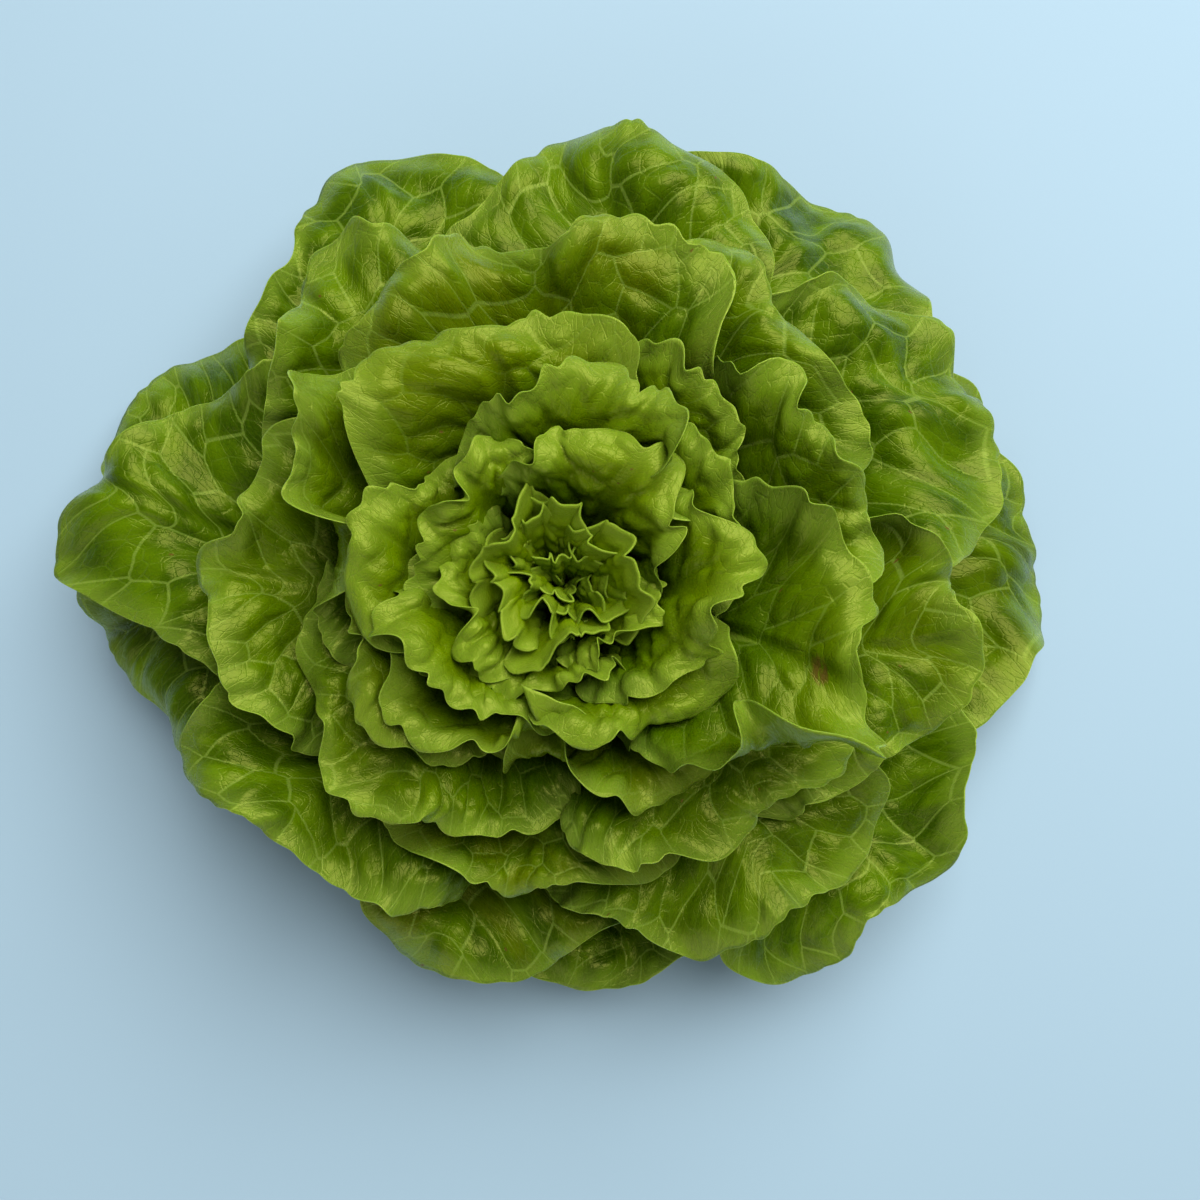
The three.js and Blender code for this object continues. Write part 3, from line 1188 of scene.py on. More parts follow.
class BladePainter:
    """Builds the shared colour group once, and materials that use it.

    Attributes:
        sub_surface: Share of the light that passes into a blade.
        scatter: How far each colour of it goes, against the length.
        scatter_length: That length, in millimetres.
        specular_ior: Refractive index of the surface.
        specular_tint: Tint of its gloss.
    """

    sub_surface: float = 0.35
    scatter: Colour = (0.6, 1.0, 0.2)
    scatter_length: float = 0.5
    specular_ior: float = 1.42
    specular_tint: Colour = (1.0, 1.0, 0.22)

    def __init__(self, net: VeinNet) -> None:
        """Builds the group.

        Args:
            net: The net of veins.
        """
        self.pattern = BladePattern()
        self.group = BladeGroup(net, self.pattern)

    def material(self, finish: BladeFinish) -> Material:
        """Makes a material of one finish.

        Args:
            finish: Its colours and gloss.

        Returns:
            The material.
        """
        material, shader = new_material(finish.name)
        tree = material.node_tree
        group = tree.nodes.new("ShaderNodeGroup")
        group.node_tree = self.group.tree
        for name in self.group.colours:
            group.inputs[name].default_value = (*getattr(finish, name.lower()), 1.0)
        group.inputs["Vein Share"].default_value = finish.vein_share
        group.inputs["Roughness"].default_value = finish.roughness
        tree.links.new(group.outputs["Colour"], shader.inputs["Base Color"])
        tree.links.new(group.outputs["Roughness"], shader.inputs["Roughness"])
        normal = Wiring(tree).bump(group.outputs["Relief"], finish.bump, self.pattern.relief_depth)
        tree.links.new(normal, shader.inputs["Normal"])
        shader.inputs["IOR"].default_value = self.specular_ior
        shader.inputs["Specular Tint"].default_value = (*self.specular_tint, 1.0)
        shader.inputs["Subsurface Weight"].default_value = self.sub_surface
        shader.inputs["Subsurface Radius"].default_value = self.scatter
        shader.inputs["Subsurface Scale"].default_value = self.scatter_length * MM
        return material


class HeadPart:
    """A part of the head that stands for one solid of the frame.

    Attributes:
        node: Name of the solid.
        slot: Its material slot.
    """

    node: str
    slot: Slot

    def dress(self, piece: Piece, materials: tuple[Material, ...]) -> None:
        """Gives a finished piece its materials and ties it to the frame.

        Args:
            piece: The finished mesh.
            materials: Its materials, in the order of its faces' slots.
        """
        for material in materials:
            piece.data.materials.append(material)
        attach(piece, BODY)
        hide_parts(self.node)
        LOG.info("%s stands for %s", piece.name, self.node)


@dataclass(frozen=True)
class BladeLook:
    """What the fine pieces have beyond the solids: frills, rolled margins, scallops and blisters.

    Pairs are the values of the innermost and the outermost leaf, unless their line says otherwise. A power
    says how close to the rim a form stays.

    Attributes:
        cells: Cells along each side of a blade's grid.
        thickness: Thickness of the blade.
        edge_thickness: Thickness of its rim.
        edge_range: Shares of the way out to the rim over which it thins.
        rib_thickness: Thickness of the midrib.
        rib_half_width: Half the midrib's width at the root and at its end.
        rib_fade_from: Share of the length where the midrib starts to fade.
        rib_end: Share of the length where it ends.
        rib_faded: Half widths off the midrib that a place counts as where the midrib has ended.
        folds: Broad waves of the blade, in gaps between layers.
        folding: Their scale.
        fold_power: Their power.
        lobes: Lobes of the outline, as shares of the radius.
        lobing: Their scale.
        lobe_power: Their power.
        blunt_tip: How the tip is cut short.
        fullness: How much fuller the outline is than a disc.
        scallops: Small round lobes of the rim, as shares of the radius.
        scalloping: Their scale.
        scallop_power: Their power.
        frills: Waves of the rim, in gaps between layers.
        frilling: Their scale.
        frill_power: Their power.
        shifts: Shifts round the rim, in radians, that make frills and scallops uneven.
        rolls: Waves of the margin's roll, in radians.
        rolling: Their scale.
        roll_from: Share of the way out to the rim where the roll starts.
        outward_roll: The roll that the whole margin has, in radians.
        pleats: Pleats of the margin.
        pleat_places: Least and greatest angle of a pleat from the tip.
        pleat_spreads: Least and greatest spread of a pleat.
        pleat_sizes: Least and greatest size of a pleat before its scale.
        pleat_seed: First number of the pleats' draws.
        pleat_draws: Draws that each pleat takes.
        pleating: Their scale, in gaps between layers.
        pleat_power: Their power.
        free: Places along the disc over which the blade comes free of its root.
        base_width: Width of the root against the widest place.
        widest_at: Place along the disc where the blade is widest.
        blister: Height of the blisters.
        blister_start: Places along the disc over which the blisters set in.
        blister_end: Shares of the way out to the rim over which they fade.
        blister_off_rib: Millimetres off the midrib over which they set in.
        youth_power: Power by which youth fades outwards.
        tone_seed: Number of the draw of a leaf's tone.
        vein_rows: Rows of meshes along a leaf.
        vein_spacing: Breadth of a mesh against a row.
        vein_slant: How steeply the rows rise from the midrib.
        vein_curve: How much more steeply they rise further off it.
        vein_seam: Millimetres from the midrib within which the sides' rows are joined.
        vein_stagger: Rows by which one side is ahead of the other.
        vein_waver: How far the rows waver.
        vein_waver_rates: How often they do, along and across the leaf.
        vein_offset: Step in the net from one leaf to the next.
    """

    cells: int = 88
    thickness: float = 0.45
    edge_thickness: float = 0.2
    edge_range: Range = (0.9, 1.0)
    rib_thickness: float = 2.4
    rib_half_width: Range = (4.2, 0.7)
    rib_fade_from: float = 0.6
    rib_end: float = 0.82
    rib_faded: float = 2.0
    folds: tuple[WaveKind, ...] = (
        WaveKind((2.2, 3.2), (0.5, 0.9), 4),
        WaveKind((4.8, 6.2), (0.4, 0.8), 7),
    )
    folding: Range = (0.4, 1.5)
    fold_power: int = 3
    lobes: WaveKind = WaveKind((3.0, 5.0), (0.02, 0.06), 10)
    lobing: Range = (1.0, 1.7)
    lobe_power: int = 3
    blunt_tip: Gather = Gather(0.0, 0.4, -0.06)
    fullness: float = 0.04
    scallops: WaveKind = WaveKind((34.0, 46.0), (0.008, 0.015), 30)
    scalloping: Range = (2.0, 1.0)
    scallop_power: int = 9
    frills: tuple[WaveKind, ...] = (
        WaveKind((8.0, 11.0), (0.35, 0.6), 36),
        WaveKind((14.0, 19.0), (0.25, 0.45), 39),
        WaveKind((29.0, 37.0), (0.15, 0.3), 42),
    )
    frilling: Range = (2.2, 0.2)
    frill_power: int = 9
    shifts: tuple[WaveKind, ...] = (
        WaveKind((4.0, 6.0), (0.04, 0.06), 54),
        WaveKind((10.0, 13.0), (0.02, 0.035), 57),
    )
    rolls: tuple[WaveKind, ...] = (
        WaveKind((2.5, 4.5), (0.3, 0.6), 45),
        WaveKind((6.0, 9.0), (0.25, 0.55), 48),
        WaveKind((13.0, 18.0), (0.1, 0.3), 51),
    )
    rolling: Range = (1.25, 0.35)
    roll_from: Range = (0.66, 0.8)
    outward_roll: Range = (-0.75, -0.03)
    pleats: int = 5
    pleat_places: Range = (-2.0, 2.0)
    pleat_spreads: Range = (0.16, 0.34)
    pleat_sizes: Range = (-1.0, 1.0)
    pleat_seed: int = 90
    pleat_draws: int = 3
    pleating: Range = (1.6, 1.0)
    pleat_power: int = 5
    free: Range = (-0.7, 0.1)
    base_width: float = 0.28
    widest_at: float = 0.35
    blister: Range = (2.3, 1.5)
    blister_start: Range = (-0.8, -0.2)
    blister_end: Range = (0.86, 1.0)
    blister_off_rib: Range = (0.5, 4.0)
    youth_power: float = 1.3
    tone_seed: int = 67
    vein_rows: float = 9.0
    vein_spacing: float = 1.2
    vein_slant: float = 0.55
    vein_curve: float = 0.0035
    vein_seam: float = 5.0
    vein_stagger: float = 0.5
    vein_waver: float = 0.16
    vein_waver_rates: Range = (0.1, 0.12)
    vein_offset: float = 5.37


class Leaf(HeadPart):
    """One leaf of the spiral."""

    slot = Slot.LEAF

    def __init__(self, index: int, form: HeadForm, look: BladeLook) -> None:
        """Draws the leaf's traits.

        Args:
            index: Its number, from 0 for the outermost.
            form: The layers that it lies on.
            look: Its fine forms.
        """
        self.index = index
        self.number = index + 1
        self.node = f"leaf_{self.number:02d}"
        self.form = form
        self.look = look
        last = form.leaf_count - 1
        inward = (last - index) / last
        self.depth = inward**form.crowding
        self.layer_gap = form.crowding * max(inward, form.crowded_from) ** (form.crowding - 1.0) / last
        self._set_size(GROWN_LEAVES[index])
        self._set_margin(CALM_LEAVES.get(self.number, 1.0))

    def _set_size(self, grown: GrownLeaf) -> None:
        """Works out where the leaf points and how large it is.

        Args:
            grown: How it departs from its place.
        """
        form = self.form
        layer = form.layer(np.array([self.depth]))
        slope = float(layer.rise[0] - layer.bend[0] / 2.0)
        self.azimuth = form.first_azimuth + self.index * form.golden_angle + math.radians(grown.turn)
        shortening = form.front_shortening * max(0.0, math.cos(self.azimuth - form.front_azimuth))
        self.layer_length = float(layer.length[0])
        self.length = self.layer_length * grown.reach * (1.0 - shortening)
        self.half_width = lerp(*form.half_width, self.depth**form.width_power) * grown.width
        self.wrap = 1.0 / math.cos(slope)
        self.apex = float(layer.root_radius[0]) / math.cos(slope)

    def _set_margin(self, calm: float) -> None:
        """Draws the folds, lobes, frills, rolls and pleats.

        Args:
            calm: How strong the frills, rolls and pleats are.
        """
        look = self.look
        folding = lerp(*look.folding, self.depth)
        frilling = calm * lerp(*look.frilling, self.depth)
        rolling = calm * lerp(*look.rolling, self.depth)
        pleating = calm * lerp(*look.pleating, self.depth)
        self.folds = [kind.of(self.index, folding) for kind in look.folds]
        self.lobes = look.lobes.of(self.index, lerp(*look.lobing, self.depth))
        self.scallops = look.scallops.of(self.index, lerp(*look.scalloping, self.depth))
        self.frills = [kind.of(self.index, frilling) for kind in look.frills]
        self.rolls = [kind.of(self.index, rolling) for kind in look.rolls]
        self.shifts = [kind.of(self.index) for kind in look.shifts]
        seeds = [look.pleat_seed + look.pleat_draws * number for number in range(look.pleats)]
        self.pleats = [self._pleat(seed, pleating) for seed in seeds]
        self.outward_roll = lerp(*look.outward_roll, self.depth)
        self.turned = TURNED_MARGINS.get(self.number)
        self.roll_from = self.turned.start if self.turned else lerp(*look.roll_from, self.depth)

    def _pleat(self, seed: int, pleating: float) -> Gather:
        """Draws one pleat of the margin.

        Args:
            seed: First number of its draws.
            pleating: Its scale.

        Returns:
            The pleat.
        """
        return Gather(
            between(self.look.pleat_places, self.index, seed),
            between(self.look.pleat_spreads, self.index, seed + 1),
            pleating * between(self.look.pleat_sizes, self.index, seed + 2),
        )

    def uneven(self, turn: Array) -> Array:
        """Shifts angles round the leaf to and fro, so that its crinkles are uneven."""
        return turn + sum(wave.at(turn) for wave in self.shifts)

    def flat(self, across: Array, along: Array) -> tuple[Array, Array]:
        """Gives places on the leaf as if it lay flat.

        Args:
            across: Places across the unit disc.
            along: Places along it, from the root at -1 to the tip at 1.

        Returns:
            Millimetres off the midrib and from the root.
        """
        look = self.look
        rim, turn = polar(across, along)
        free = smoothstep(along, *look.free)
        full = look.fullness + look.blunt_tip.at(turn)
        lobe = 1.0 + free * rim**look.lobe_power * (full + self.lobes.at(turn))
        lobe += free * rim**look.scallop_power * self.scallops.scallop(self.uneven(turn))
        breadth = lerp(look.base_width, 1.0, smoothstep(along, -1.0, look.widest_at))
        return across * lobe * self.half_width * breadth, self.length * (1.0 + along * lobe) / 2.0

    def draped(self, across: Array, along: Array) -> Array:
        """Lays the blade on its layer, with folds and frills but no rolled margin.

        Args:
            across: Places across the unit disc.
            along: Places along it.

        Returns:
            Points in millimetres, one a row.
        """
        look = self.look
        x, y = self.flat(across, along)
        rim, turn = polar(across, along)
        slant = np.hypot(x, y + self.apex)
        angle = self.azimuth + np.arctan2(x, y + self.apex) * self.wrap
        fold = rim**look.fold_power * sum(wave.at(turn) for wave in self.folds)
        frill = rim**look.frill_power * sum(wave.at(self.uneven(turn)) for wave in self.frills)
        pleat = rim**look.pleat_power * sum(gather.at(turn) for gather in self.pleats)
        depth = self.depth + self.layer_gap * smoothstep(along, *look.free) * (fold + frill + pleat)
        radius, height = self.form.profile(depth, (slant - self.apex) / self.layer_length)
        return self.form.settle(ring(radius, angle, height))

    def _hinge(self, across: Array, along: Array) -> tuple[Array, Array, Array]:
        """Finds the line that the margin rolls about.

        Args:
            across: Places across the unit disc.
            along: Places along it.

        Returns:
            For each place, its point on that line and the ways outwards and upwards there.
        """
        inside = np.minimum(1.0, self.roll_from / np.maximum(np.hypot(across, along), LEAST_RIM))
        x = across * inside
        y = along * inside
        hinge = self.draped(x, y)
        outward = unit(hinge - self.draped(x * (1.0 - NUDGE), y * (1.0 - NUDGE)))
        turn_cos = math.cos(NUDGE)
        turn_sin = math.sin(NUDGE)
        beside = hinge - self.draped(x * turn_cos + y * turn_sin, y * turn_cos - x * turn_sin)
        return hinge, outward, unit(np.cross(beside, outward))

    def surface(self, across: Array, along: Array) -> Array:
        """Gives the blade's upper face with its margin rolled.

        Args:
            across: Places across the unit disc.
            along: Places along it.

        Returns:
            Points in millimetres, one a row.
        """
        points = self.draped(across, along)
        hinge, outward, upward = self._hinge(across, along)
        rim, turn = polar(across, along)
        reach = points - hinge
        out = np.einsum("ij,ij->i", reach, outward)
        lift = np.einsum("ij,ij->i", reach, upward)
        rest = reach - out[:, None] * outward - lift[:, None] * upward
        roll = self.outward_roll + sum(wave.at(turn) for wave in self.rolls)
        if self.turned:
            roll = roll + self.turned.gather.at(turn)
        share = np.clip((rim - self.roll_from) / (1.0 - self.roll_from), 0.0, 1.0)
        angle = share * smoothstep(along, *self.look.free) * roll
        safe = np.where(np.abs(angle) < LEAST_ANGLE, LEAST_ANGLE, angle)
        rolled_out = out * np.sin(safe) / safe - lift * np.sin(angle)
        rolled_up = out * (1.0 - np.cos(safe)) / safe + lift * np.cos(angle)
        rolled = hinge + rest + rolled_out[:, None] * outward + rolled_up[:, None] * upward
        return np.where((rim > self.roll_from)[:, None], rolled, points)

    def vein_places(self, x: Array, y: Array) -> tuple[Array, Array, Array]:
        """Gives places in the net of veins, whose rows slant up from the midrib on both sides.

        Args:
            x: Millimetres off the midrib.
            y: Millimetres from the root.

        Returns:
            Places across the rows, along them, and the leaf's own part of the net.
        """
        look = self.look
        row = self.length / look.vein_rows
        side = smoothstep(x, -look.vein_seam, look.vein_seam) * look.vein_stagger
        slanted = (y - look.vein_slant * np.abs(x) - look.vein_curve * x**2) / row + side
        along_rate, across_rate = look.vein_waver_rates
        beside = x / (look.vein_spacing * row) + look.vein_waver * np.sin(along_rate * y + self.index)
        slanted = slanted + look.vein_waver * np.sin(across_rate * x + 2.0 * self.index)
        offset = look.vein_offset * self.index
        return beside + offset, slanted + 2.0 * offset, np.full_like(x, offset)

    def _rib(self, share: Array) -> tuple[Array, Array]:
        """Gives the midrib at shares of the leaf's length.

        Args:
            share: The shares.

        Returns:
            Half its width in millimetres, and how much of it is left.
        """
        look = self.look
        width = lerp(*look.rib_half_width, np.clip(share / look.rib_end, 0.0, 1.0))
        return width, 1.0 - smoothstep(share, look.rib_fade_from, look.rib_end)

    def _store_places(self, piece: Piece, across: Array, along: Array) -> None:
        """Stores what the colours and the blisters go by.

        Args:
            piece: The blade.
            across: Places across the unit disc.
            along: Places along it.
        """
        look = self.look
        x, y = self.flat(across, along)
        rim = np.hypot(across, along)
        share = np.clip(y / self.length, 0.0, 1.0)
        rib_width, rib_left = self._rib(share)
        off_rib = np.abs(x) / rib_width + look.rib_faded * (1.0 - rib_left)
        youth = np.full_like(x, (1.0 - self.depth) ** look.youth_power)
        tone = np.full_like(x, draw(self.index, look.tone_seed))
        swollen = smoothstep(along, *look.blister_start) * (1.0 - smoothstep(rim, *look.blister_end))
        swollen = swollen * smoothstep(np.abs(x), *look.blister_off_rib)
        mark = np.zeros_like(x)
        for blemish in BLEMISHES.get(self.number, ()):
            mark = np.maximum(mark, blemish.at(across, along))
        store(piece, VEIN_SPACE, *self.vein_places(x, y))
        store(piece, BLADE_PLACE, off_rib, share, (1.0 - rim) * self.half_width)
        store(piece, BLADE_TRAITS, youth, tone, swollen)
        store(piece, BLADE_MARKS, mark, mark, mark)

    def _thicken(self, piece: Piece, across: Array, along: Array) -> None:
        """Gives the blade its thickness, with a thick midrib and a thin rim.

        Args:
            piece: The blade.
            across: Places across the unit disc.
            along: Places along it.
        """
        look = self.look
        x, y = self.flat(across, along)
        rib_width, rib_left = self._rib(np.clip(y / self.length, 0.0, 1.0))
        thinning = smoothstep(np.hypot(across, along), *look.edge_range)
        thin = lerp(look.thickness, look.edge_thickness, thinning)
        ridge = rib_left * np.exp(-((x / rib_width) ** 2))
        thick = thin + (look.rib_thickness - look.thickness) * ridge
        rib = piece.vertex_groups.new(name=RIB_GROUP)
        for vertex, weight in enumerate(thick / look.rib_thickness):
            rib.add((vertex,), float(weight), "REPLACE")
        shell = add_shell(piece, look.rib_thickness, -1.0)
        shell.vertex_group = RIB_GROUP
        shell.use_even_offset = False

    def build(self, blisters: Tree) -> Piece:
        """Models the leaf.

        Args:
            blisters: The geometry tree that raises the blade between its veins.

        Returns:
            The finished mesh.
        """
        piece = add_grid(f"blade_{self.number:02d}", self.look.cells, self.look.cells)
        across, along = disc_grid(self.look.cells)
        move_vertices(piece, self.surface(across, along))
        face_up(piece)
        self._store_places(piece, across, along)
        raise_blisters(piece, blisters, lerp(*self.look.blister, self.depth))
        self._thicken(piece, across, along)
        finish_blade(piece)
        return piece


@dataclass(frozen=True)
class Heart(HeadPart):
    """The small ruffled leaves in the middle of the head.

    Pairs are the values of the innermost and the outermost small leaf, unless their line says otherwise.

    Attributes:
        form: The head that they stand in.
        node: Name of the solid.
        slot: Its material slot.
        leaves: Number of small leaves.
        radius: Radius of the round that their tops fill.
        foot: Height of their feet.
        foot_radius: Radius of their feet.
        foot_half_width: Half the width of their feet.
        top: Height of their tops.
        top_spread: How far the tops differ.
        top_seed: Number of the draw of a top.
        half_width: Half their width.
        corner_drop: How far the corners lie below the top.
        corner_power: How close to the corners the drop stays.
        notch: Depth of the notches in the rim.
        lip_range: Shares of the height over which the lip flares.
        lip_reach: How far the lip flares out.
        lip_drop: How far it drops.
        lip_share: Middle of the lip's flare, and its swing.
        lip_waves: Swings of the flare for each broad ruffle.
        sway: How far the rim sways sideways.
        sway_power: How close to the rim the sway stays.
        sway_waves: Sways for each second ruffle.
        blister: Height of the blisters.
        blister_width: Width of a mesh of the net.
        blister_end: Shares of the height over which the blisters fade.
        vein_offset: Step in the net from one leaf to the next.
        no_rib: Half widths off a midrib that the whole leaf counts as.
        place_from: Share of a blade's length that the foot counts as.
        tone_seed: Number of the draw of a leaf's tone.
        thickness: Thickness of a leaf.
        columns: Cells across a leaf.
        rows: Cells up a leaf.
        ruffles: Waves of a leaf, from broad to fine.
        ruffle_powers: How close to the rim each of them stays.
    """

    form: HeadForm
    node: str = "heart"
    slot: Slot = Slot.HEART
    leaves: int = 13
    radius: float = 16.0
    foot: float = 62.0
    foot_radius: float = 1.2
    foot_half_width: float = 2.5
    top: Range = (99.0, 113.0)
    top_spread: float = 3.0
    top_seed: int = 79
    half_width: Range = (8.0, 19.0)
    corner_drop: float = 15.0
    corner_power: int = 3
    notch: float = 0.7
    lip_range: Range = (0.55, 1.2)
    lip_reach: Range = (4.0, 9.0)
    lip_drop: float = 3.5
    lip_share: Range = (0.7, 0.3)
    lip_waves: float = 2.0
    sway: float = 0.8
    sway_power: int = 3
    sway_waves: float = 2.0
    blister: float = 1.1
    blister_width: float = 4.5
    blister_end: Range = (0.85, 1.0)
    vein_offset: float = 3.17
    no_rib: float = 9.0
    place_from: float = 0.3
    tone_seed: int = 80
    thickness: float = 0.45
    columns: int = 84
    rows: int = 40
    ruffles: tuple[WaveKind, ...] = (
        WaveKind((2.5, 4.5), (1.8, 3.0), 70),
        WaveKind((7.0, 10.0), (1.5, 2.4), 73),
        WaveKind((17.0, 23.0), (0.6, 1.0), 76),
        WaveKind((38.0, 46.0), (0.15, 0.35), 82),
    )
    ruffle_powers: tuple[float, ...] = (1.5, 3.0, 5.0, 8.0)

    def _outward(self, index: int) -> float:
        """Gives how far out a small leaf stands, from 0 to 1."""
        return (index + 0.5) / self.leaves

    def _top(self, index: int) -> float:
        """Draws the height of a small leaf's top."""
        return lerp(*self.top, self._outward(index)) + self.top_spread * (draw(index, self.top_seed) - 0.5)

    def surface(self, index: int, across: Array, rise: Array) -> Array:
        """Shapes one small leaf.

        Args:
            index: Its number, from the middle outwards.
            across: Places across it, from -1 to 1.
            rise: Places up it, from 0 to 1.

        Returns:
            Points in millimetres, one a row.
        """
        outward = self._outward(index)
        top_radius = self.radius * math.sqrt(outward)
        waves = [kind.of(index) for kind in self.ruffles]
        broad, second = waves[:2]
        ruffle = sum(rise**power * wave.at(across) for power, wave in zip(self.ruffle_powers, waves))
        middle, swing = self.lip_share
        flare = middle + swing * np.sin(self.lip_waves * broad.count * across + index)
        lip = smoothstep(rise, *self.lip_range) * flare
        radius = lerp(self.foot_radius, top_radius, rise) + ruffle + lerp(*self.lip_reach, outward) * lip
        breadth = lerp(self.foot_half_width, lerp(*self.half_width, outward), np.sqrt(rise))
        sway = self.sway * rise**self.sway_power * np.cos(self.sway_waves * second.count * across)
        azimuth = -(index + 1) * self.form.golden_angle
        angle = azimuth + (across * breadth + sway) / top_radius
        corners = self.corner_drop * np.abs(across) ** self.corner_power
        edge = self._top(index) - corners - self.notch * np.abs(np.sin(second.count * across))
        height = lerp(self.foot, edge, rise) - self.lip_drop * lip
        return self.form.settle(ring(radius, angle, height))

    def leaf(self, index: int, blisters: Tree) -> Piece:
        """Models one small leaf.

        Args:
            index: Its number, from the middle outwards.
            blisters: The geometry tree that raises the blade between its veins.

        Returns:
            The finished mesh.
        """
        piece = add_grid(f"heart_leaf_{index + 1:02d}", self.columns, self.rows)
        across = np.tile(np.linspace(-1.0, 1.0, self.columns + 1), self.rows + 1)
        rise = np.repeat(np.linspace(0.0, 1.0, self.rows + 1), self.columns + 1)
        move_vertices(piece, self.surface(index, across, rise))
        face_up(piece)
        half_width = lerp(*self.half_width, self._outward(index))
        length = self._top(index) - self.foot
        flat = np.zeros_like(across)
        places = (across * half_width, rise * length, flat)
        offset = self.vein_offset * index
        margin = np.minimum((1.0 - rise) * length, (1.0 - np.abs(across)) * half_width)
        tone = draw(index, self.tone_seed)
        swollen = 1.0 - smoothstep(rise, *self.blister_end)
        store(piece, VEIN_SPACE, *(place / self.blister_width + offset for place in places))
        store(piece, BLADE_PLACE, flat + self.no_rib, lerp(self.place_from, 1.0, rise), margin)
        store(piece, BLADE_TRAITS, np.ones_like(across), flat + tone, swollen)
        raise_blisters(piece, blisters, self.blister)
        add_shell(piece, self.thickness, 0.0)
        finish_blade(piece)
        return piece

    def build(self, blisters: Tree) -> Piece:
        """Models the small leaves and joins them.

        Args:
            blisters: The geometry tree that raises the blade between its veins.

        Returns:
            One piece.
        """
        select_only(*[self.leaf(index, blisters) for index in range(self.leaves)])
        bpy.ops.object.join()
        return active_piece("heart_leaves")


@dataclass(frozen=True)
class StalkFinish:
    """The pale flesh of the stalk.

    Attributes:
        name: Name of the material.
        greener: Colour of its greener flecks.
        paler: Colour of the paler flesh.
        flecks: Values of the grain at which each colour is full.
        grain: Scale and detail of the grain.
        bump: Strength of the relief that the grain gives.
        relief_depth: Depth of that relief, in millimetres.
        roughness: Roughness of the surface.
    """

    name: str = "stalk_flesh"
    greener: Colour = (0.50, 0.52, 0.22)
    paler: Colour = (0.70, 0.72, 0.44)
    flecks: Range = (0.35, 0.7)
    grain: Range = (160.0, 4.0)
    bump: float = 0.4
    relief_depth: float = 0.5
    roughness: float = 0.5

    def material(self) -> Material:
        """Makes the stalk's material.

        Returns:
            The material, with fine flecks and a rough grain.
        """
        material, shader = new_material(self.name)
        tree = material.node_tree
        wire = Wiring(tree)
        grain = wire.noise(tree.nodes.new("ShaderNodeTexCoord").outputs["Object"], *self.grain)
        ramp = tree.nodes.new("ShaderNodeValToRGB")
        colours = (self.greener, self.paler)
        for stop, position, colour in zip(ramp.color_ramp.elements, self.flecks, colours):
            stop.position = position
            stop.color = (*colour, 1.0)
        tree.links.new(grain, ramp.inputs["Fac"])
        tree.links.new(ramp.outputs["Color"], shader.inputs["Base Color"])
        tree.links.new(wire.bump(grain, self.bump, self.relief_depth), shader.inputs["Normal"])
        shader.inputs["Roughness"].default_value = self.roughness
        return material


@dataclass(frozen=True)
class Stem(HeadPart):
    """The short stalk, cut flat below.

    Attributes:
        node: Name of the solid.
        slot: Its material slot.
        finish: Its flesh.
        cut_radius: Radius just above the cut face.
        cut_edge: How much the cut's edge is broken inwards.
        cut_edge_height: How high the broken edge is.
        bulge_radius: Radius at its widest.
        bulge_height: Height of its widest place.
        top_radius: Radius at its shoulder.
        top_height: Height of its shoulder.
        tip_radius: Radius at its tip.
        tip_height: Height of its tip.
        ridges: Pairs of ridges round it.
        ridge_depth: Their depth as a share of the radius.
        ridge_twist: How far they wind in a millimetre of height.
        ridge_rise: Heights over which they set in.
        sides: Sides of the cylinder.
        cuts: Cuts that divide each of its edges.
        smooth_angle: Angle up to which its faces are smoothed.
    """

    node: str = "stem"
    slot: Slot = Slot.STEM
    finish: StalkFinish = StalkFinish()
    cut_radius: float = 16.5
    cut_edge: float = 0.8
    cut_edge_height: float = 1.2
    bulge_radius: float = 17.5
    bulge_height: float = 5.0
    top_radius: float = 8.5
    top_height: float = 55.0
    tip_radius: float = 4.25
    tip_height: float = 58.0
    ridges: float = 4.0
    ridge_depth: float = 0.03
    ridge_twist: float = 0.09
    ridge_rise: Range = (0.5, 4.0)
    sides: int = 96
    cuts: int = 11
    smooth_angle: float = math.radians(40.0)

    def build(self) -> Piece:
        """Models the stalk from a cylinder.

        Returns:
            The finished mesh.
        """
        bpy.ops.object.select_all(action="DESELECT")
        bpy.ops.mesh.primitive_cylinder_add(vertices=self.sides, radius=1.0, depth=1.0)
        stem = active_piece("stem_stalk")
        bpy.ops.object.mode_set(mode="EDIT")
        bpy.ops.mesh.select_all(action="SELECT")
        bpy.ops.mesh.subdivide(number_cuts=self.cuts)
        bpy.ops.object.mode_set(mode="OBJECT")
        flat = np.empty(len(stem.data.vertices) * 3)
        stem.data.vertices.foreach_get("co", flat)
        x, y, z = flat.reshape(-1, 3).T
        angle = np.arctan2(y, x)
        height = (z + 0.5) * self.tip_height
        profile = (
            (0.0, self.cut_radius - self.cut_edge),
            (self.cut_edge_height, self.cut_radius),
            (self.bulge_height, self.bulge_radius),
            (self.top_height, self.top_radius),
            (self.tip_height, self.tip_radius),
        )
        radius = np.interp(height, *zip(*profile))
        furrows = np.abs(np.sin(self.ridges * angle + self.ridge_twist * height))
        ridged = 1.0 - self.ridge_depth * furrows * smoothstep(height, *self.ridge_rise)
        move_vertices(stem, ring(radius * ridged * np.hypot(x, y), angle, height))
        bpy.ops.object.shade_smooth_by_angle(angle=self.smooth_angle)
        return stem


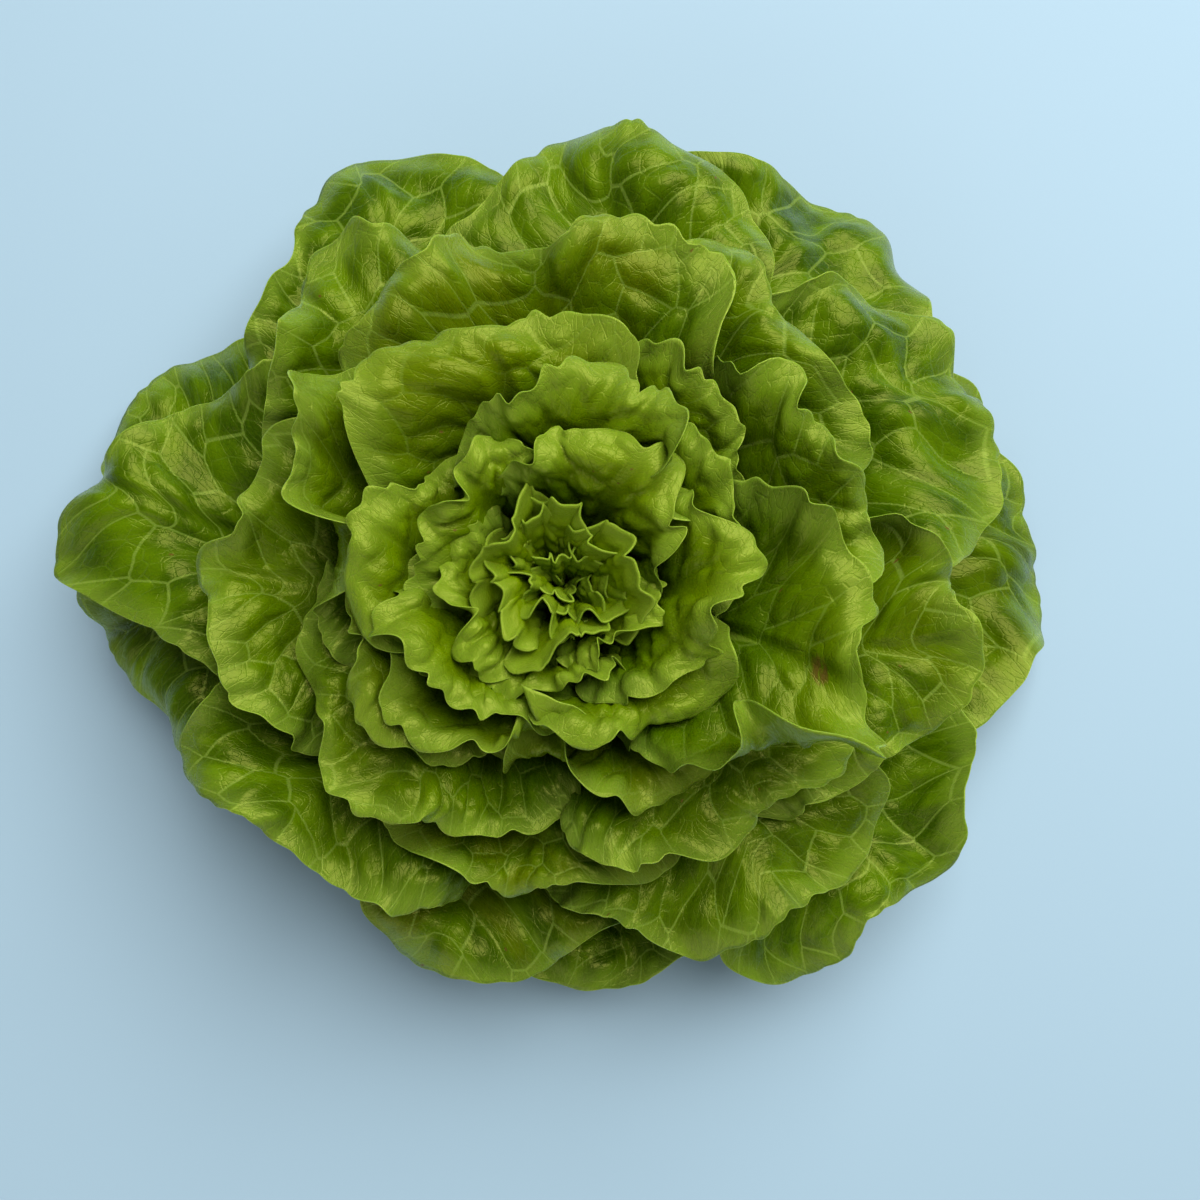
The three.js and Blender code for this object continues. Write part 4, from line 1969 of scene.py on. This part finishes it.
@dataclass(frozen=True)
class Lamp:
    """A large soft lamp: its name, place and width in metres, and power in watts."""

    name: str
    place: Point
    size: float
    energy: float

    def hang(self, target: Vector) -> None:
        """Hangs the lamp.

        Args:
            target: What it shines at.
        """
        bpy.ops.object.light_add(type="AREA", location=self.place)
        lamp = bpy.context.active_object
        lamp.name = self.name
        lamp.data.energy = self.energy
        lamp.data.size = self.size
        aim = target - Vector(self.place)
        lamp.rotation_euler = aim.to_track_quat("-Z", "Y").to_euler()


@dataclass(frozen=True)
class Stage:
    """The plain floor, the soft light and the camera, in metres.

    Attributes:
        floor_size: Width of the floor.
        floor_colour: Its colour.
        floor_roughness: Its roughness.
        target: What the camera and the lamps aim at.
        elevation: How high the camera looks from.
        distance: How far from the target it is.
        field_of_view: Its angle of view.
        clip_start: Nearest distance that it sees.
        sky_colour: Colour of the soft sky.
        sky_strength: Its strength.
        key: The main lamp.
        fill: The lamp that lightens the shadows.
    """

    floor_size: float = 24.0
    floor_colour: Colour = (0.405, 0.575, 0.685)
    floor_roughness: float = 0.7
    target: Point = (0.011, -0.002, 0.06)
    elevation: float = math.radians(86.0)
    distance: float = 0.36
    field_of_view: float = math.radians(50.0)
    clip_start: float = 0.01
    sky_colour: Colour = (0.92, 0.96, 1.0)
    sky_strength: float = 0.13
    key: Lamp = Lamp("soft_key", (0.55, 0.85, 1.5), 1.7, 49.0)
    fill: Lamp = Lamp("soft_fill", (-0.7, -1.7, 0.8), 1.8, 10.0)

    def floor(self) -> None:
        """Lays the plain floor."""
        bpy.ops.object.select_all(action="DESELECT")
        bpy.ops.mesh.primitive_plane_add(size=self.floor_size)
        floor = active_piece("floor")
        material, shader = new_material("plain_floor")
        shader.inputs["Base Color"].default_value = (*self.floor_colour, 1.0)
        shader.inputs["Roughness"].default_value = self.floor_roughness
        floor.data.materials.append(material)

    def light(self) -> None:
        """Adds a soft sky and two large soft lamps."""
        world = bpy.data.worlds.new("soft_sky")
        world.use_nodes = True
        background = world.node_tree.nodes["Background"]
        background.inputs["Color"].default_value = (*self.sky_colour, 1.0)
        background.inputs["Strength"].default_value = self.sky_strength
        bpy.context.scene.world = world
        bpy.context.scene.view_settings.view_transform = "Standard"
        for lamp in (self.key, self.fill):
            lamp.hang(Vector(self.target))

    def camera(self) -> None:
        """Looks down on the head from just in front of straight above."""
        back = Vector((0.0, -math.cos(self.elevation), math.sin(self.elevation)))
        place = Vector(self.target) + self.distance * back
        tilt = math.pi / 2.0 - self.elevation
        bpy.ops.object.camera_add(location=place, rotation=(tilt, 0.0, 0.0))
        camera = bpy.context.active_object
        camera.name = "camera"
        camera.data.angle = self.field_of_view
        camera.data.clip_start = self.clip_start
        bpy.context.scene.camera = camera


def main() -> None:
    """Builds the head round its frame."""
    logging.basicConfig(level=logging.INFO, format="%(message)s")
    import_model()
    stage = Stage()
    stage.camera()
    stage.light()
    stage.floor()
    net = VeinNet()
    blisters = net.blister_tree()
    painter = BladePainter(net)
    blade = (painter.material(UPPER_FINISH), painter.material(UNDER_FINISH))
    form = HeadForm()
    look = BladeLook()
    for index in range(form.leaf_count):
        leaf = Leaf(index, form, look)
        leaf.dress(leaf.build(blisters), blade)
    heart = Heart(form)
    heart.dress(heart.build(blisters), blade)
    stem = Stem()
    stem.dress(stem.build(), (stem.finish.material(),))


if __name__ == "__main__":
    main()
